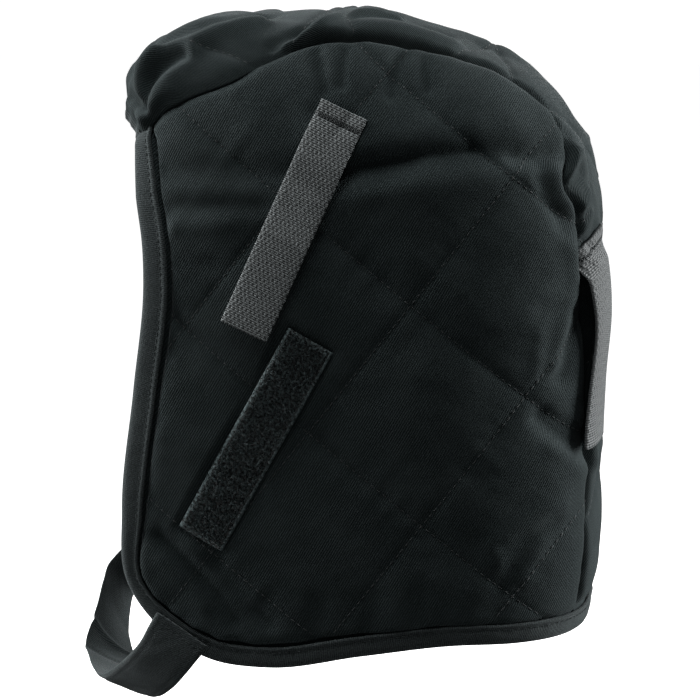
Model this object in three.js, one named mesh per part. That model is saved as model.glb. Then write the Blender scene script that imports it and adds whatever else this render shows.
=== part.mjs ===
import * as THREE from "three";

// Winter hood liner, in millimetres. Z is up, the face opening is toward -Y and the wearer's left is +X.
// The origin is the top of the head hollow, under the crown.

// The smooth form: |x / halfWidth|^power + (r / reach)^power = 1, with r measured in the side view from the middle.
const form = { middleY: 10, middleZ: -130, halfWidth: 76, power: 3 };

// How far the crown line is from the middle, by angle up from straight back. The rows from -155 to -70 span
// the open neck and the one at 165 the open face, and only shape the sides.
const reachRows = [
  { angle: -180, reach: 159 },
  { angle: -155, reach: 186 },
  { angle: -131, reach: 268 },
  { angle: -95, reach: 360 },
  { angle: -70, reach: 280 },
  { angle: -55, reach: 204.4 },
  { angle: -45, reach: 170.6 },
  { angle: -36, reach: 148.5 },
  { angle: -23, reach: 130.5 },
  { angle: -7, reach: 121.5 },
  { angle: 7, reach: 121 },
  { angle: 20, reach: 126.2 },
  { angle: 35, reach: 132.2 },
  { angle: 54, reach: 134.8 },
  { angle: 74, reach: 132.4 },
  { angle: 92, reach: 137.2 },
  { angle: 109, reach: 142.2 },
  { angle: 124, reach: 159.5 },
  { angle: 135, reach: 163 },
  { angle: 146, reach: 152 },
  { angle: 165, reach: 153 },
];

// Half width of the crown panel, by the same angle, from the nape to the brow.
const seamRows = [
  { angle: -60, half: 37 },
  { angle: -43, half: 37.5 },
  { angle: 0, half: 43 },
  { angle: 30, half: 41.5 },
  { angle: 58, half: 37 },
  { angle: 75, half: 41 },
  { angle: 93, half: 48.5 },
  { angle: 106, half: 53 },
  { angle: 118, half: 60 },
  { angle: 131, half: 61 },
  { angle: 146, half: 54 },
];

// The cut edge of a side panel in the side view, from below the temple round the jaw to before the nape.
const edgeRows = [
  { y: -98.6, z: -84 },
  { y: -94.4, z: -128 },
  { y: -99.6, z: -182 },
  { y: -105.8, z: -246 },
  { y: -103, z: -282 },
  { y: -86, z: -302 },
  { y: -62, z: -317.5 },
  { y: -33, z: -320.6 },
  { y: 16, z: -312.6 },
  { y: 62, z: -306.4 },
  { y: 92, z: -306.6 },
];
const brow = { angle: 145 };
const nape = { z: -305 };

// Depths below the smooth form. A cell of quilting is full where its depth outside is 0.
const wall = { full: 8, stitchOut: 3.6, stitchIn: 6.8, edgeOut: 2.9, edgeIn: 5.5, seamGap: 0.25 };

// Quilting lines of a side panel, in the side view: two directions through one point, and the distance of each
// line from that point along the other direction.
const quilt = {
  pointY: 38.2,
  pointZ: -137.2,
  alongA: { y: 0.777, z: -0.629 },
  alongB: { y: -0.616, z: -0.788 },
  linesA: [-165, -85, -4, 80, 161, 241],
  linesB: [-162, -82, 0, 74, 133, 210],
  sharpness: 0.6,
};

// Quilting lines of the crown panel: distance along the panel plus or minus the distance across it.
const crownQuilt = {
  linesPlus: [-185, -95, 30, 104, 200, 300, 400, 500],
  linesMinus: [-215, -92, 45, 150, 250, 350, 450],
  sharpness: 0.6,
};

// Dents and ridges of the side panels, in the side view. A depth under 0 is a ridge.
const foldRows = [
  { fromY: 8, fromZ: -68, toY: 60, toZ: -59, width: 9, depth: 4.5 },
  { fromY: 60, fromZ: -59, toY: 104, toZ: -59, width: 9, depth: 4 },
  { fromY: 20, fromZ: -78, toY: 92, toZ: -74, width: 10, depth: -1.8 },
  { fromY: -82, fromZ: -72, toY: -8, toZ: -69, width: 9, depth: 2 },
  { fromY: 120, fromZ: -118, toY: 108, toZ: -158, width: 8, depth: -2 },
  { fromY: -78, fromZ: -263, toY: -46, toZ: -292, width: 9, depth: 2.4 },
  { fromY: 106, fromZ: -236, toY: 107, toZ: -276, width: 8, depth: 2 },
];

// Gathers of the brow: ruffles across the edge that fade toward the top, and ridges that fan from the temple,
// given by angle round the crown and distance off the middle.
const gather = { ruffles: 6, height: 2.6, fade: 34, flat: 11 };
const browRidges = [
  { fromAngle: 142, fromX: 52, toAngle: 123, toX: 43, width: 7, height: 2.4 },
  { fromAngle: 143, fromX: 34, toAngle: 124, toX: 30, width: 7, height: 2.6 },
  { fromAngle: 143, fromX: 12, toAngle: 125, toX: 10, width: 7, height: 2.2 },
];

const binding = { width: 11, tape: 1.3, gap: 0.5, nose: 2.4, edgeRoom: 0.9 };
const browBand = { width: 12, tape: 1.4, gap: 0.8, nose: 2.6, edgeRoom: 0.9, endGap: 1.2 };

// Straps of one inch tape. Each runs from its sewn end to its free end, in the side view.
const tape = { width: 25.4, thick: 1.8 };
const sideStrap = { fromY: 6.6, fromZ: -37.4, toY: -42.4, toZ: -148, off: -0.1, slack: 2.4 };
const loopPatch = { fromY: -9.2, fromZ: -152.4, toY: -66.6, toZ: -256.9, off: 0.4, thick: 1.7 };
const backStrap = { x: 30, drift: 5, tilt: 5, fromAngle: 12, toAngle: -34, off: 0.8, bow: 4.2 };

// The chin strap from the left jaw corner to the right one: its middle line and the way its width points.
const chinStrap = { width: 25.4, thick: 2 };
const chinRows = [
  { x: 72, y: -75.5, z: -303, wideX: 0, wideY: 0.85, wideZ: -0.52 },
  { x: 72, y: -82.5, z: -314, wideX: 0, wideY: 0.85, wideZ: -0.52 },
  { x: 71, y: -92, z: -325, wideX: 0, wideY: 0.85, wideZ: -0.52 },
  { x: 67, y: -101, z: -332.5, wideX: 0, wideY: 0.86, wideZ: -0.5 },
  { x: 59, y: -106.5, z: -336, wideX: 0, wideY: 0.87, wideZ: -0.49 },
  { x: 45, y: -112.5, z: -338.5, wideX: 0, wideY: 0.88, wideZ: -0.47 },
  { x: 20, y: -120.5, z: -340.5, wideX: 0, wideY: 0.88, wideZ: -0.47 },
  { x: -5, y: -128, z: -340.5, wideX: 0, wideY: 0.88, wideZ: -0.47 },
  { x: -19, y: -132, z: -338, wideX: 0.05, wideY: 0.88, wideZ: -0.47 },
  { x: -27, y: -134, z: -331.5, wideX: 0.1, wideY: 0.87, wideZ: -0.48 },
  { x: -35, y: -135, z: -323.5, wideX: 0.15, wideY: 0.85, wideZ: -0.5 },
  { x: -48, y: -136, z: -314, wideX: 0.2, wideY: 0.8, wideZ: -0.56 },
  { x: -60, y: -134, z: -307, wideX: 0.15, wideY: 0.7, wideZ: -0.7 },
  { x: -69, y: -123, z: -303, wideX: 0.05, wideY: 0.5, wideZ: -0.86 },
  { x: -72, y: -107, z: -302.5, wideX: 0, wideY: 0.4, wideZ: -0.91 },
  { x: -72, y: -91, z: -302.5, wideX: 0, wideY: 0.42, wideZ: -0.9 },
  { x: -72, y: -75.5, z: -303, wideX: 0, wideY: 0.45, wideZ: -0.89 },
];

const cells = { panelAlong: 30, panelAcross: 20, crownAcross: 24, bindingStep: 12, strapAlong: 14, chinAlong: 34, across: 2 };

const radians = THREE.MathUtils.degToRad;
const { smoothstep: fadeIn, lerp } = THREE.MathUtils;

// A smooth curve through rows of a table, with the slope at each row weighed from its two neighbours.
function curveThrough(at, value) {
  const step = at.slice(1).map((a, i) => a - at[i]);
  const rise = step.map((s, i) => (value[i + 1] - value[i]) / s);
  const slope = at.map((_, i) => {
    if (i === 0) return rise[0];
    if (i === at.length - 1) return rise[i - 1];
    return (rise[i - 1] * step[i] + rise[i] * step[i - 1]) / (step[i - 1] + step[i]);
  });
  return (a) => {
    let i = 0;
    while (i < step.length - 1 && a > at[i + 1]) i += 1;
    const t = (a - at[i]) / step[i];
    const u = 1 - t;
    const ends = (1 + 2 * t) * u * u * value[i] + t * t * (3 - 2 * t) * value[i + 1];
    return ends + t * u * step[i] * (u * slope[i] - t * slope[i + 1]);
  };
}

const roundReach = [
  ...reachRows.slice(-3).map((row) => ({ angle: row.angle - 360, reach: row.reach })),
  ...reachRows,
  ...reachRows.slice(0, 3).map((row) => ({ angle: row.angle + 360, reach: row.reach })),
];
const reachCurve = curveThrough(roundReach.map((row) => row.angle), roundReach.map((row) => row.reach));
const reachAt = (angle) => reachCurve(THREE.MathUtils.euclideanModulo(angle + 180, 360) - 180);
const seamHalf = curveThrough(seamRows.map((row) => row.angle), seamRows.map((row) => row.half));

const angleOf = (y, z) => THREE.MathUtils.radToDeg(Math.atan2(z - form.middleZ, y - form.middleY));
const narrowing = (x) => (1 - Math.abs(x / form.halfWidth) ** form.power) ** (1 / form.power);

// A point of the smooth form on the wearer's left, by its place in the side view.
function sidePoint(y, z) {
  const share = Math.hypot(y - form.middleY, z - form.middleZ) / reachAt(angleOf(y, z));
  const x = form.halfWidth * Math.max(0, 1 - share ** form.power) ** (1 / form.power);
  return new THREE.Vector3(x, y, z);
}

// A point of the smooth form by angle round the crown and distance off the middle.
function crownPoint(angle, x) {
  const r = narrowing(x) * reachAt(angle);
  const y = form.middleY + r * Math.cos(radians(angle));
  const z = form.middleZ + r * Math.sin(radians(angle));
  return new THREE.Vector3(x, y, z);
}

// The outward normal of the smooth form: the gradient of its formula.
function normalAt(point) {
  const angle = angleOf(point.y, point.z);
  const reach = reachAt(angle);
  const turn = (reachAt(angle + 0.5) - reachAt(angle - 0.5)) / radians(1);
  const r = Math.hypot(point.y - form.middleY, point.z - form.middleZ);
  const pull = (r / reach) ** (form.power - 1);
  const alongReach = pull / reach;
  const alongTurn = (-pull * turn) / reach ** 2;
  const cos = Math.cos(radians(angle));
  const sin = Math.sin(radians(angle));
  const acrossX = (Math.abs(point.x) ** (form.power - 1) / form.halfWidth ** form.power) * Math.sign(point.x);
  const acrossY = alongReach * cos - alongTurn * sin;
  const acrossZ = alongReach * sin + alongTurn * cos;
  return new THREE.Vector3(acrossX, acrossY, acrossZ).normalize();
}

const sunk = (point, depth) => point.clone().addScaledVector(normalAt(point), -depth);
const mirrored = (point) => new THREE.Vector3(-point.x, point.y, point.z);

// The angle at which the crown panel reaches the nape hem, by distance off the middle.
function napeAngle(x) {
  let low = -62;
  let high = -48;
  for (let i = 0; i < 40; i += 1) {
    const middle = (low + high) / 2;
    if (crownPoint(middle, x).z < nape.z) low = middle;
    else high = middle;
  }
  return (low + high) / 2;
}

// Points at even distances along a row of points.
function evenly(points, count) {
  const along = [0];
  for (let i = 1; i < points.length; i += 1) along.push(along[i - 1] + points[i].distanceTo(points[i - 1]));
  const total = along[along.length - 1];
  const places = [];
  let i = 0;
  for (let k = 0; k <= count; k += 1) {
    const want = (total * k) / count;
    while (i < points.length - 2 && along[i + 1] < want) i += 1;
    const share = (want - along[i]) / (along[i + 1] - along[i]);
    places.push(points[i].clone().lerp(points[i + 1], Math.min(1, share)));
  }
  return places;
}

// Stations at even distances along the seam, as angles.
const seamEnd = napeAngle(seamHalf(-57));
const seamFine = Array.from({ length: 401 }, (_, i) => brow.angle + ((seamEnd - brow.angle) * i) / 400);
const seamLength = [0];
for (let i = 1; i <= 400; i += 1) {
  const here = crownPoint(seamFine[i], seamHalf(seamFine[i]));
  const before = crownPoint(seamFine[i - 1], seamHalf(seamFine[i - 1]));
  seamLength.push(seamLength[i - 1] + here.distanceTo(before));
}
const angleAlong = curveThrough(seamLength, seamFine);
const seamTotal = seamLength[400];
const seamAngles = (count) => Array.from({ length: count + 1 }, (_, i) => angleAlong((seamTotal * i) / count));

// Distance along the middle of the crown panel from straight above the origin, back positive.
const crownAngles = Array.from({ length: 241 }, (_, i) => 150 - i * 0.9);
const crownAlong = [0];
for (let i = 1; i <= 240; i += 1) {
  crownAlong.push(crownAlong[i - 1] + crownPoint(crownAngles[i], 0).distanceTo(crownPoint(crownAngles[i - 1], 0)));
}
const fromBrowEnd = curveThrough(crownAngles.map((a) => -a), crownAlong);
const topAt = fromBrowEnd(-angleOf(0, form.middleZ + reachAt(94)));
const alongCrown = (angle) => fromBrowEnd(-angle) - topAt;

// 0 on a quilting line and 1 half way between two.
function puffBetween(lines, value, sharpness) {
  let i = 0;
  while (i < lines.length - 2 && value > lines[i + 1]) i += 1;
  const share = THREE.MathUtils.clamp((value - lines[i]) / (lines[i + 1] - lines[i]), 0, 1);
  return (4 * share * (1 - share)) ** sharpness;
}

function sidePuff(y, z) {
  const dy = y - quilt.pointY;
  const dz = z - quilt.pointZ;
  const { alongA, alongB } = quilt;
  const cross = alongA.y * alongB.z - alongA.z * alongB.y;
  const a = (dy * alongB.z - dz * alongB.y) / cross;
  const b = (alongA.y * dz - alongA.z * dy) / cross;
  return puffBetween(quilt.linesB, a, quilt.sharpness) * puffBetween(quilt.linesA, b, quilt.sharpness);
}

function crownPuff(angle, x) {
  const along = alongCrown(angle);
  const plus = puffBetween(crownQuilt.linesPlus, along + x, crownQuilt.sharpness);
  return plus * puffBetween(crownQuilt.linesMinus, along - x, crownQuilt.sharpness);
}

// How far a place is from a straight stretch, both in the side view or both on the crown.
function awayFrom(a, b, fromA, fromB, toA, toB) {
  const da = toA - fromA;
  const db = toB - fromB;
  const share = THREE.MathUtils.clamp(((a - fromA) * da + (b - fromB) * db) / (da * da + db * db), 0, 1);
  return Math.hypot(a - fromA - share * da, b - fromB - share * db);
}

const sideDent = (y, z) =>
  foldRows.reduce((sum, row) => {
    const away = awayFrom(y, z, row.fromY, row.fromZ, row.toY, row.toZ);
    return sum + row.depth * Math.exp(-((away / row.width) ** 2));
  }, 0);

// Ruffles stand at full height under the brow band and fade behind it.
function browLift(angle, x) {
  const back = alongCrown(angle) - alongCrown(brow.angle);
  const fade = Math.exp(-Math.max(0, back - gather.flat) / gather.fade);
  const share = x / seamHalf(angle);
  const ruffle = Math.cos(Math.PI * gather.ruffles * share) * (1 - share ** 6);
  const ridges = browRidges.reduce((sum, row) => {
    const from = alongCrown(row.fromAngle);
    const away = awayFrom(alongCrown(angle), Math.abs(x), from, row.fromX, alongCrown(row.toAngle), row.toX);
    return sum + row.height * Math.exp(-((away / row.width) ** 2));
  }, 0);
  return gather.height * fade * ruffle + ridges * fadeIn(back, gather.flat, gather.flat + 14);
}

function meshFrom(name, points, faces) {
  let volume = 0;
  for (const [a, b, c] of faces) volume += points[a].dot(points[b].clone().cross(points[c]));
  const outward = volume > 0 ? faces : faces.map(([a, b, c]) => [a, c, b]);
  const geometry = new THREE.BufferGeometry();
  geometry.setAttribute("position", new THREE.Float32BufferAttribute(points.flatMap((p) => p.toArray()), 3));
  geometry.setIndex(outward.flat());
  geometry.computeVertexNormals();
  const mesh = new THREE.Mesh(geometry, new THREE.MeshStandardMaterial({ color: 0x2a2d2e }));
  mesh.name = name;
  return mesh;
}

// A padded sheet: an outer grid, an inner grid of the same cells, and a rim round both.
function sheetBetween(name, outer, inner) {
  const rows = outer.length;
  const columns = outer[0].length;
  const points = [...outer.flat(), ...inner.flat()];
  const out = (i, j) => i * columns + j;
  const into = (i, j) => rows * columns + i * columns + j;
  const faces = [];
  const quad = (a, b, c, d) => faces.push([a, b, c], [a, c, d]);
  for (let i = 0; i < rows - 1; i += 1) {
    for (let j = 0; j < columns - 1; j += 1) {
      quad(out(i, j), out(i + 1, j), out(i + 1, j + 1), out(i, j + 1));
      quad(into(i, j), into(i, j + 1), into(i + 1, j + 1), into(i + 1, j));
    }
  }
  for (let i = 0; i < rows - 1; i += 1) {
    quad(out(i + 1, 0), out(i, 0), into(i, 0), into(i + 1, 0));
    quad(out(i, columns - 1), out(i + 1, columns - 1), into(i + 1, columns - 1), into(i, columns - 1));
  }
  for (let j = 0; j < columns - 1; j += 1) {
    quad(out(0, j), out(0, j + 1), into(0, j + 1), into(0, j));
    quad(out(rows - 1, j + 1), out(rows - 1, j), into(rows - 1, j), into(rows - 1, j + 1));
  }
  return meshFrom(name, points, faces);
}

// A closed section carried along stations, with flat ends fanned from the section's first corner.
function swept(name, sections) {
  const count = sections[0].length;
  const points = sections.flat();
  const faces = [];
  for (let k = 0; k < sections.length - 1; k += 1) {
    for (let i = 0; i < count; i += 1) {
      const j = (i + 1) % count;
      const a = k * count + i;
      const b = k * count + j;
      faces.push([a, a + count, b + count], [a, b + count, b]);
    }
  }
  const flat = sections[0].map((_, i) => foldedSection[i]);
  const caps = THREE.ShapeUtils.triangulateShape(flat.map(([b, n]) => new THREE.Vector2(b, n)), []);
  const last = (sections.length - 1) * count;
  for (const [a, b, c] of caps) faces.push([a, b, c], [last + a, last + c, last + b]);
  return meshFrom(name, points, faces);
}

// The section of a folded tape, off the cut edge and above the smooth form: outer leg, nose, inner leg and slot.
function tapeSection({ width, tape: thick, gap, nose, edgeRoom }) {
  const top = -wall.edgeOut + gap;
  const bottom = -wall.edgeIn - gap;
  const middle = (top + bottom) / 2;
  return [
    [nose - width, top],
    [edgeRoom, top],
    [edgeRoom, bottom],
    [nose - width, bottom],
    [nose - width, bottom - thick],
    [nose - 1, bottom - thick],
    [nose, middle],
    [nose - 1, top + thick],
    [nose - width, top + thick],
  ];
}
const foldedSection = tapeSection(binding);

// The edge of a side panel in the side view: temple corner, table rows, nape corner.
const seamSide = (angle) => crownPoint(angle, seamHalf(angle) + wall.seamGap);
const temple = seamSide(brow.angle);
const napeCorner = seamSide(seamEnd);
const edgeStations = edgeRows.map((row) => new THREE.Vector3(0, row.y, row.z));
const edgeReach = [0];
for (let i = 1; i < edgeStations.length; i += 1) {
  edgeReach.push(edgeReach[i - 1] + edgeStations[i].distanceTo(edgeStations[i - 1]));
}
const edgeY = curveThrough(edgeReach, edgeRows.map((row) => row.y));
const edgeZ = curveThrough(edgeReach, edgeRows.map((row) => row.z));
const edgeFine = Array.from({ length: 301 }, (_, i) => {
  const along = (edgeReach[edgeReach.length - 1] * i) / 300;
  return new THREE.Vector3(0, edgeY(along), edgeZ(along));
});

// Depths of a side panel's outer and inner faces below the smooth form.
function sideDepths(point) {
  const { y, z } = point;
  const fromEdge = edgeDistance(y, z);
  const fromSeam = seamDistance(point);
  const open = fadeIn(fromEdge, 16, 36);
  const puff = sidePuff(y, z) * open * fadeIn(fromSeam, 0, 24);
  const dent = sideDent(y, z) * open * fadeIn(fromSeam, 2, 20);
  const held = fadeIn(fromEdge, 15, 32);
  const out = lerp(wall.edgeOut, wall.stitchOut, held) * (1 - puff) + dent;
  const into = lerp(wall.edgeIn, lerp(wall.stitchIn, wall.full, puff), held) + dent * 0.8;
  return { out, into };
}

// A side panel as rungs between the cut edge and the seam, straight in the side view.
function sidePanelGrids() {
  const { panelAlong, panelAcross } = cells;
  const edge = evenly(edgeFine, panelAlong);
  const seam = seamAngles(panelAlong).map(seamSide);
  const outer = [];
  const inner = [];
  for (let i = 0; i <= panelAlong; i += 1) {
    const rung = Array.from({ length: panelAcross + 1 }, (_, j) => {
      const v = j / panelAcross;
      if (j === panelAcross) return seam[i];
      return sidePoint(lerp(edge[i].y, seam[i].y, v), lerp(edge[i].z, seam[i].z, v));
    });
    outer.push(rung.map((point) => sunk(point, sideDepths(point).out)));
    inner.push(rung.map((point) => sunk(point, sideDepths(point).into)));
  }
  return { outer, inner };
}

const edgePath = [temple, ...edgeFine, napeCorner].map((p) => new THREE.Vector2(p.y, p.z));
function edgeDistance(y, z) {
  let best = Infinity;
  for (let i = 1; i < edgePath.length; i += 1) {
    const a = edgePath[i - 1];
    const b = edgePath[i];
    best = Math.min(best, awayFrom(y, z, a.x, a.y, b.x, b.y));
  }
  return best;
}
const seamPath = seamAngles(80).map(seamSide);
const seamDistance = (point) => seamPath.reduce((best, p) => Math.min(best, p.distanceTo(point)), Infinity);

// The crown panel across each seam station, so that its seam facets match the side panels.
function crownStation(angle, share) {
  const half = seamHalf(angle) - wall.seamGap;
  const x = half * share;
  const towardNape = fadeIn(-angle, -20, 57);
  return { angle: angle + (napeAngle(x) - seamEnd) * towardNape, x };
}
// Depths of the crown panel's outer and inner faces below the smooth form. A ruffle lifts both.
function crownDepths(angle, x) {
  const fromBrow = alongCrown(angle) - alongCrown(brow.angle);
  const fromNape = alongCrown(napeAngle(x)) - alongCrown(angle);
  const fromSeam = (seamHalf(angle) - Math.abs(x)) * 1.2;
  const open = fadeIn(fromBrow, 13, 34) * fadeIn(fromNape, 14, 34);
  const held = fadeIn(fromBrow, 12, 30) * fadeIn(fromNape, 12, 30);
  const puff = crownPuff(angle, x) * fadeIn(fromSeam, 0, 20) * open;
  const lift = browLift(angle, x);
  const out = lerp(wall.edgeOut, wall.stitchOut, held) * (1 - puff) - lift;
  const into = lerp(wall.edgeIn, lerp(wall.stitchIn, wall.full, puff), held) - lift;
  return { out, into };
}
function crownGrids() {
  const outer = [];
  const inner = [];
  for (const station of seamAngles(cells.panelAlong)) {
    const places = Array.from({ length: cells.crownAcross + 1 }, (_, j) => {
      return crownStation(station, (2 * j) / cells.crownAcross - 1);
    });
    outer.push(places.map(({ angle, x }) => sunk(crownPoint(angle, x), crownDepths(angle, x).out)));
    inner.push(places.map(({ angle, x }) => sunk(crownPoint(angle, x), crownDepths(angle, x).into)));
  }
  return { outer, inner };
}

// Sections of a folded tape along a path on the smooth form.
function tapeAlong(path, section) {
  return path.map((point, k) => {
    const before = path[Math.max(0, k - 1)];
    const after = path[Math.min(path.length - 1, k + 1)];
    const normal = normalAt(point);
    const tangent = after.clone().sub(before).normalize();
    const off = tangent.clone().cross(normal).normalize();
    return section.map(([b, n]) => point.clone().addScaledVector(off, b).addScaledVector(normal, n));
  });
}

function bindingPath() {
  const flat = [temple, ...edgeFine, napeCorner].map((p) => new THREE.Vector3(0, p.y, p.z));
  const count = 400;
  const near = evenly(flat, count).map((p) => sidePoint(p.y, p.z));
  const across = Array.from({ length: 39 }, (_, i) => {
    const x = seamHalf(seamEnd) * (1 - (i + 1) / 20);
    return crownPoint(napeAngle(x), x);
  });
  const whole = [...near, ...across, ...near.map(mirrored).reverse()];
  let total = 0;
  for (let i = 1; i < whole.length; i += 1) total += whole[i].distanceTo(whole[i - 1]);
  const stations = evenly(whole, Math.round(total / cells.bindingStep));
  stations[0] = whole[3];
  stations[stations.length - 1] = whole[whole.length - 4];
  return stations;
}

// Sections of the brow band, folded over the first row of the crown panel's own grids. The band stops short of
// the seams by the end gap.
function browSections({ outer, inner }) {
  const { width, tape: thick, gap, nose, edgeRoom, endGap } = browBand;
  const last = cells.crownAcross;
  const cell = outer[0][0].distanceTo(outer[0][1]);
  const shares = Array.from({ length: last + 1 }, (_, j) => THREE.MathUtils.clamp(j, endGap / cell, last - endGap / cell));
  const between = (row, share) => {
    const j = Math.min(last - 1, Math.floor(share));
    return row[j].clone().lerp(row[j + 1], share - j);
  };
  return shares.map((share) => {
    const top = between(outer[0], share);
    const bottom = between(inner[0], share);
    const up = top.clone().sub(bottom).normalize();
    const topOff = top.clone().sub(between(outer[1], share)).normalize();
    const bottomOff = bottom.clone().sub(between(inner[1], share)).normalize();
    const middle = top.clone().lerp(bottom, 0.5);
    const above = (off, height) => top.clone().addScaledVector(topOff, off).addScaledVector(up, height);
    const below = (off, height) => bottom.clone().addScaledVector(bottomOff, off).addScaledVector(up, -height);
    return [
      above(nose - width, gap),
      above(edgeRoom, gap),
      below(edgeRoom, gap),
      below(nose - width, gap),
      below(nose - width, gap + thick),
      below(nose - 1, gap + thick),
      middle.addScaledVector(topOff, nose),
      above(nose - 1, gap + thick),
      above(nose - width, gap + thick),
    ];
  });
}

// A strip of tape: places along its middle line, the way its width points and its outward normal.
function strip(name, stations, width, thick, across) {
  const grid = (height) =>
    stations.map(({ point, wide, normal }) =>
      Array.from({ length: across + 1 }, (_, j) => {
        const offset = width * (j / across - 0.5);
        return point.clone().addScaledVector(wide, offset).addScaledVector(normal, height);
      }),
    );
  return sheetBetween(name, grid(thick), grid(0));
}

function sideStripStations({ fromY, fromZ, toY, toZ, off, slack = 0 }, steps) {
  const start = new THREE.Vector3(0, fromY, fromZ);
  const end = new THREE.Vector3(0, toY, toZ);
  return Array.from({ length: steps + 1 }, (_, i) => {
    const share = i / steps;
    const place = start.clone().lerp(end, share);
    const point = sidePoint(place.y, place.z);
    const normal = normalAt(point);
    const ahead = end.clone().sub(start).normalize();
    const wide = ahead.clone().cross(normal).normalize();
    const sunkHere = Math.min(...[-0.5, 0, 0.5].map((w) => {
      return sideDepths(point.clone().addScaledVector(wide, w * tape.width)).out;
    }));
    const sewn = slack ? 1 - fadeIn(share, 0.05, 0.3) : 0;
    const rise = off - sewn * Math.max(0, sunkHere) + slack * Math.sin(Math.PI * Math.min(1, share * 0.75)) ** 2;
    return { point: point.addScaledVector(normal, rise), wide, normal };
  });
}

// A strap down the back, with its upper end cut at a slant of tilt degrees round the crown.
function backStrapGrids({ x, drift, tilt, fromAngle, toAngle, off, bow }, side) {
  const grid = (height) =>
    Array.from({ length: cells.strapAlong + 1 }, (_, i) => {
      const share = i / cells.strapAlong;
      const rise = off + bow * Math.sin(Math.PI * share * 0.86) ** 1.5;
      return Array.from({ length: cells.across + 1 }, (__, j) => {
        const wide = j / cells.across - 0.5;
        const angle = lerp(fromAngle, toAngle, share) - tilt * wide * (1 - 0.4 * share);
        const middle = x - drift * Math.sin(Math.PI * share) ** 2;
        const place = side * (middle + wide * tape.width * 0.97);
        const sewn = 1 - fadeIn(share, 0.05, 0.25);
        return sunk(crownPoint(angle, place), sewn * crownDepths(angle, place).out - rise - height);
      });
    });
  return { outer: grid(tape.thick), inner: grid(0) };
}

function chinStations(steps) {
  const places = chinRows.map((row) => new THREE.Vector3(row.x, row.y, row.z));
  const along = [0];
  for (let i = 1; i < places.length; i += 1) along.push(along[i - 1] + places[i].distanceTo(places[i - 1]));
  const column = (key) => curveThrough(along, chinRows.map((row) => row[key]));
  const [x, y, z] = ["x", "y", "z"].map(column);
  const [wideX, wideY, wideZ] = ["wideX", "wideY", "wideZ"].map(column);
  const total = along[along.length - 1];
  const at = (d) => new THREE.Vector3(x(d), y(d), z(d));
  return Array.from({ length: steps + 1 }, (_, i) => {
    const d = (total * i) / steps;
    const ahead = at(Math.min(total, d + 0.5)).sub(at(Math.max(0, d - 0.5))).normalize();
    const wide = new THREE.Vector3(wideX(d), wideY(d), wideZ(d));
    wide.addScaledVector(ahead, -wide.dot(ahead)).normalize();
    const normal = wide.clone().cross(ahead).normalize();
    return { point: at(d), wide, normal };
  });
}

const mirrorAll = (stations) =>
  stations.map(({ point, wide, normal }) => ({
    point: mirrored(point),
    wide: mirrored(wide),
    normal: mirrored(normal),
  }));

const hood = new THREE.Group();
hood.name = "winter_hood_liner";

const panel = sidePanelGrids();
const mirrorGrid = (grid) => grid.map((row) => row.map(mirrored));
hood.add(sheetBetween("side_panel_left", panel.outer, panel.inner));
hood.add(sheetBetween("side_panel_right", mirrorGrid(panel.outer), mirrorGrid(panel.inner)));

const crown = crownGrids();
hood.add(sheetBetween("crown_panel", crown.outer, crown.inner));
hood.add(swept("edge_binding", tapeAlong(bindingPath(), foldedSection)));
hood.add(swept("brow_band", browSections(crown)));

const strapLeft = sideStripStations(sideStrap, cells.strapAlong);
hood.add(strip("hook_strap_left", strapLeft, tape.width, tape.thick, cells.across));
hood.add(strip("hook_strap_right", mirrorAll(strapLeft), tape.width, tape.thick, cells.across));
const patchLeft = sideStripStations(loopPatch, cells.strapAlong);
hood.add(strip("loop_patch_left", patchLeft, tape.width, loopPatch.thick, cells.across));
hood.add(strip("loop_patch_right", mirrorAll(patchLeft), tape.width, loopPatch.thick, cells.across));
const backLeft = backStrapGrids(backStrap, 1);
const backRight = backStrapGrids(backStrap, -1);
hood.add(sheetBetween("hook_strap_back_left", backLeft.outer, backLeft.inner));
hood.add(sheetBetween("hook_strap_back_right", backRight.outer, backRight.inner));
hood.add(strip("chin_strap", chinStations(cells.chinAlong), chinStrap.width, chinStrap.thick, cells.across));

export default hood;
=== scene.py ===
import bpy
import math
import numpy as np
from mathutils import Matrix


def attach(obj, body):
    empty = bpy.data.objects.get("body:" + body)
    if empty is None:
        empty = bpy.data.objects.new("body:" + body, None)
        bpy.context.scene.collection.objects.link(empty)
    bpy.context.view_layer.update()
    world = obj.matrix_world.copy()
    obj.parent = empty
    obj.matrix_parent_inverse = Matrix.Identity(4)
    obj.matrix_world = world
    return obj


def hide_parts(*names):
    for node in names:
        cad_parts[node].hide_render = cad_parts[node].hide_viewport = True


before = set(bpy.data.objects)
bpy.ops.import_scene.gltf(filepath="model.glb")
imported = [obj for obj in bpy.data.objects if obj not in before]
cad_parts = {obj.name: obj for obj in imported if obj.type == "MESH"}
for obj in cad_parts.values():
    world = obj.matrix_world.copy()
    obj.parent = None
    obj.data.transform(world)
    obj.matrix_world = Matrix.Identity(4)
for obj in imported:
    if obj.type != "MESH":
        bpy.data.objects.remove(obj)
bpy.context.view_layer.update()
print("frame loaded")

# everything is worked out in millimetres, as the solids were, and put into the meshes in metres
toMetres = 0.001
noiseTables = np.random.default_rng(7).uniform(-1, 1, (12, 61, 61))


# camera at the photograph's viewing angle: nearly side on, a little from behind and above
view = dict(turn=8.0, rise=11.0, away=1.7, lookAt=(0.0, 0.0, -0.1715), lens=167.66, sensor=36.0)


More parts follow.
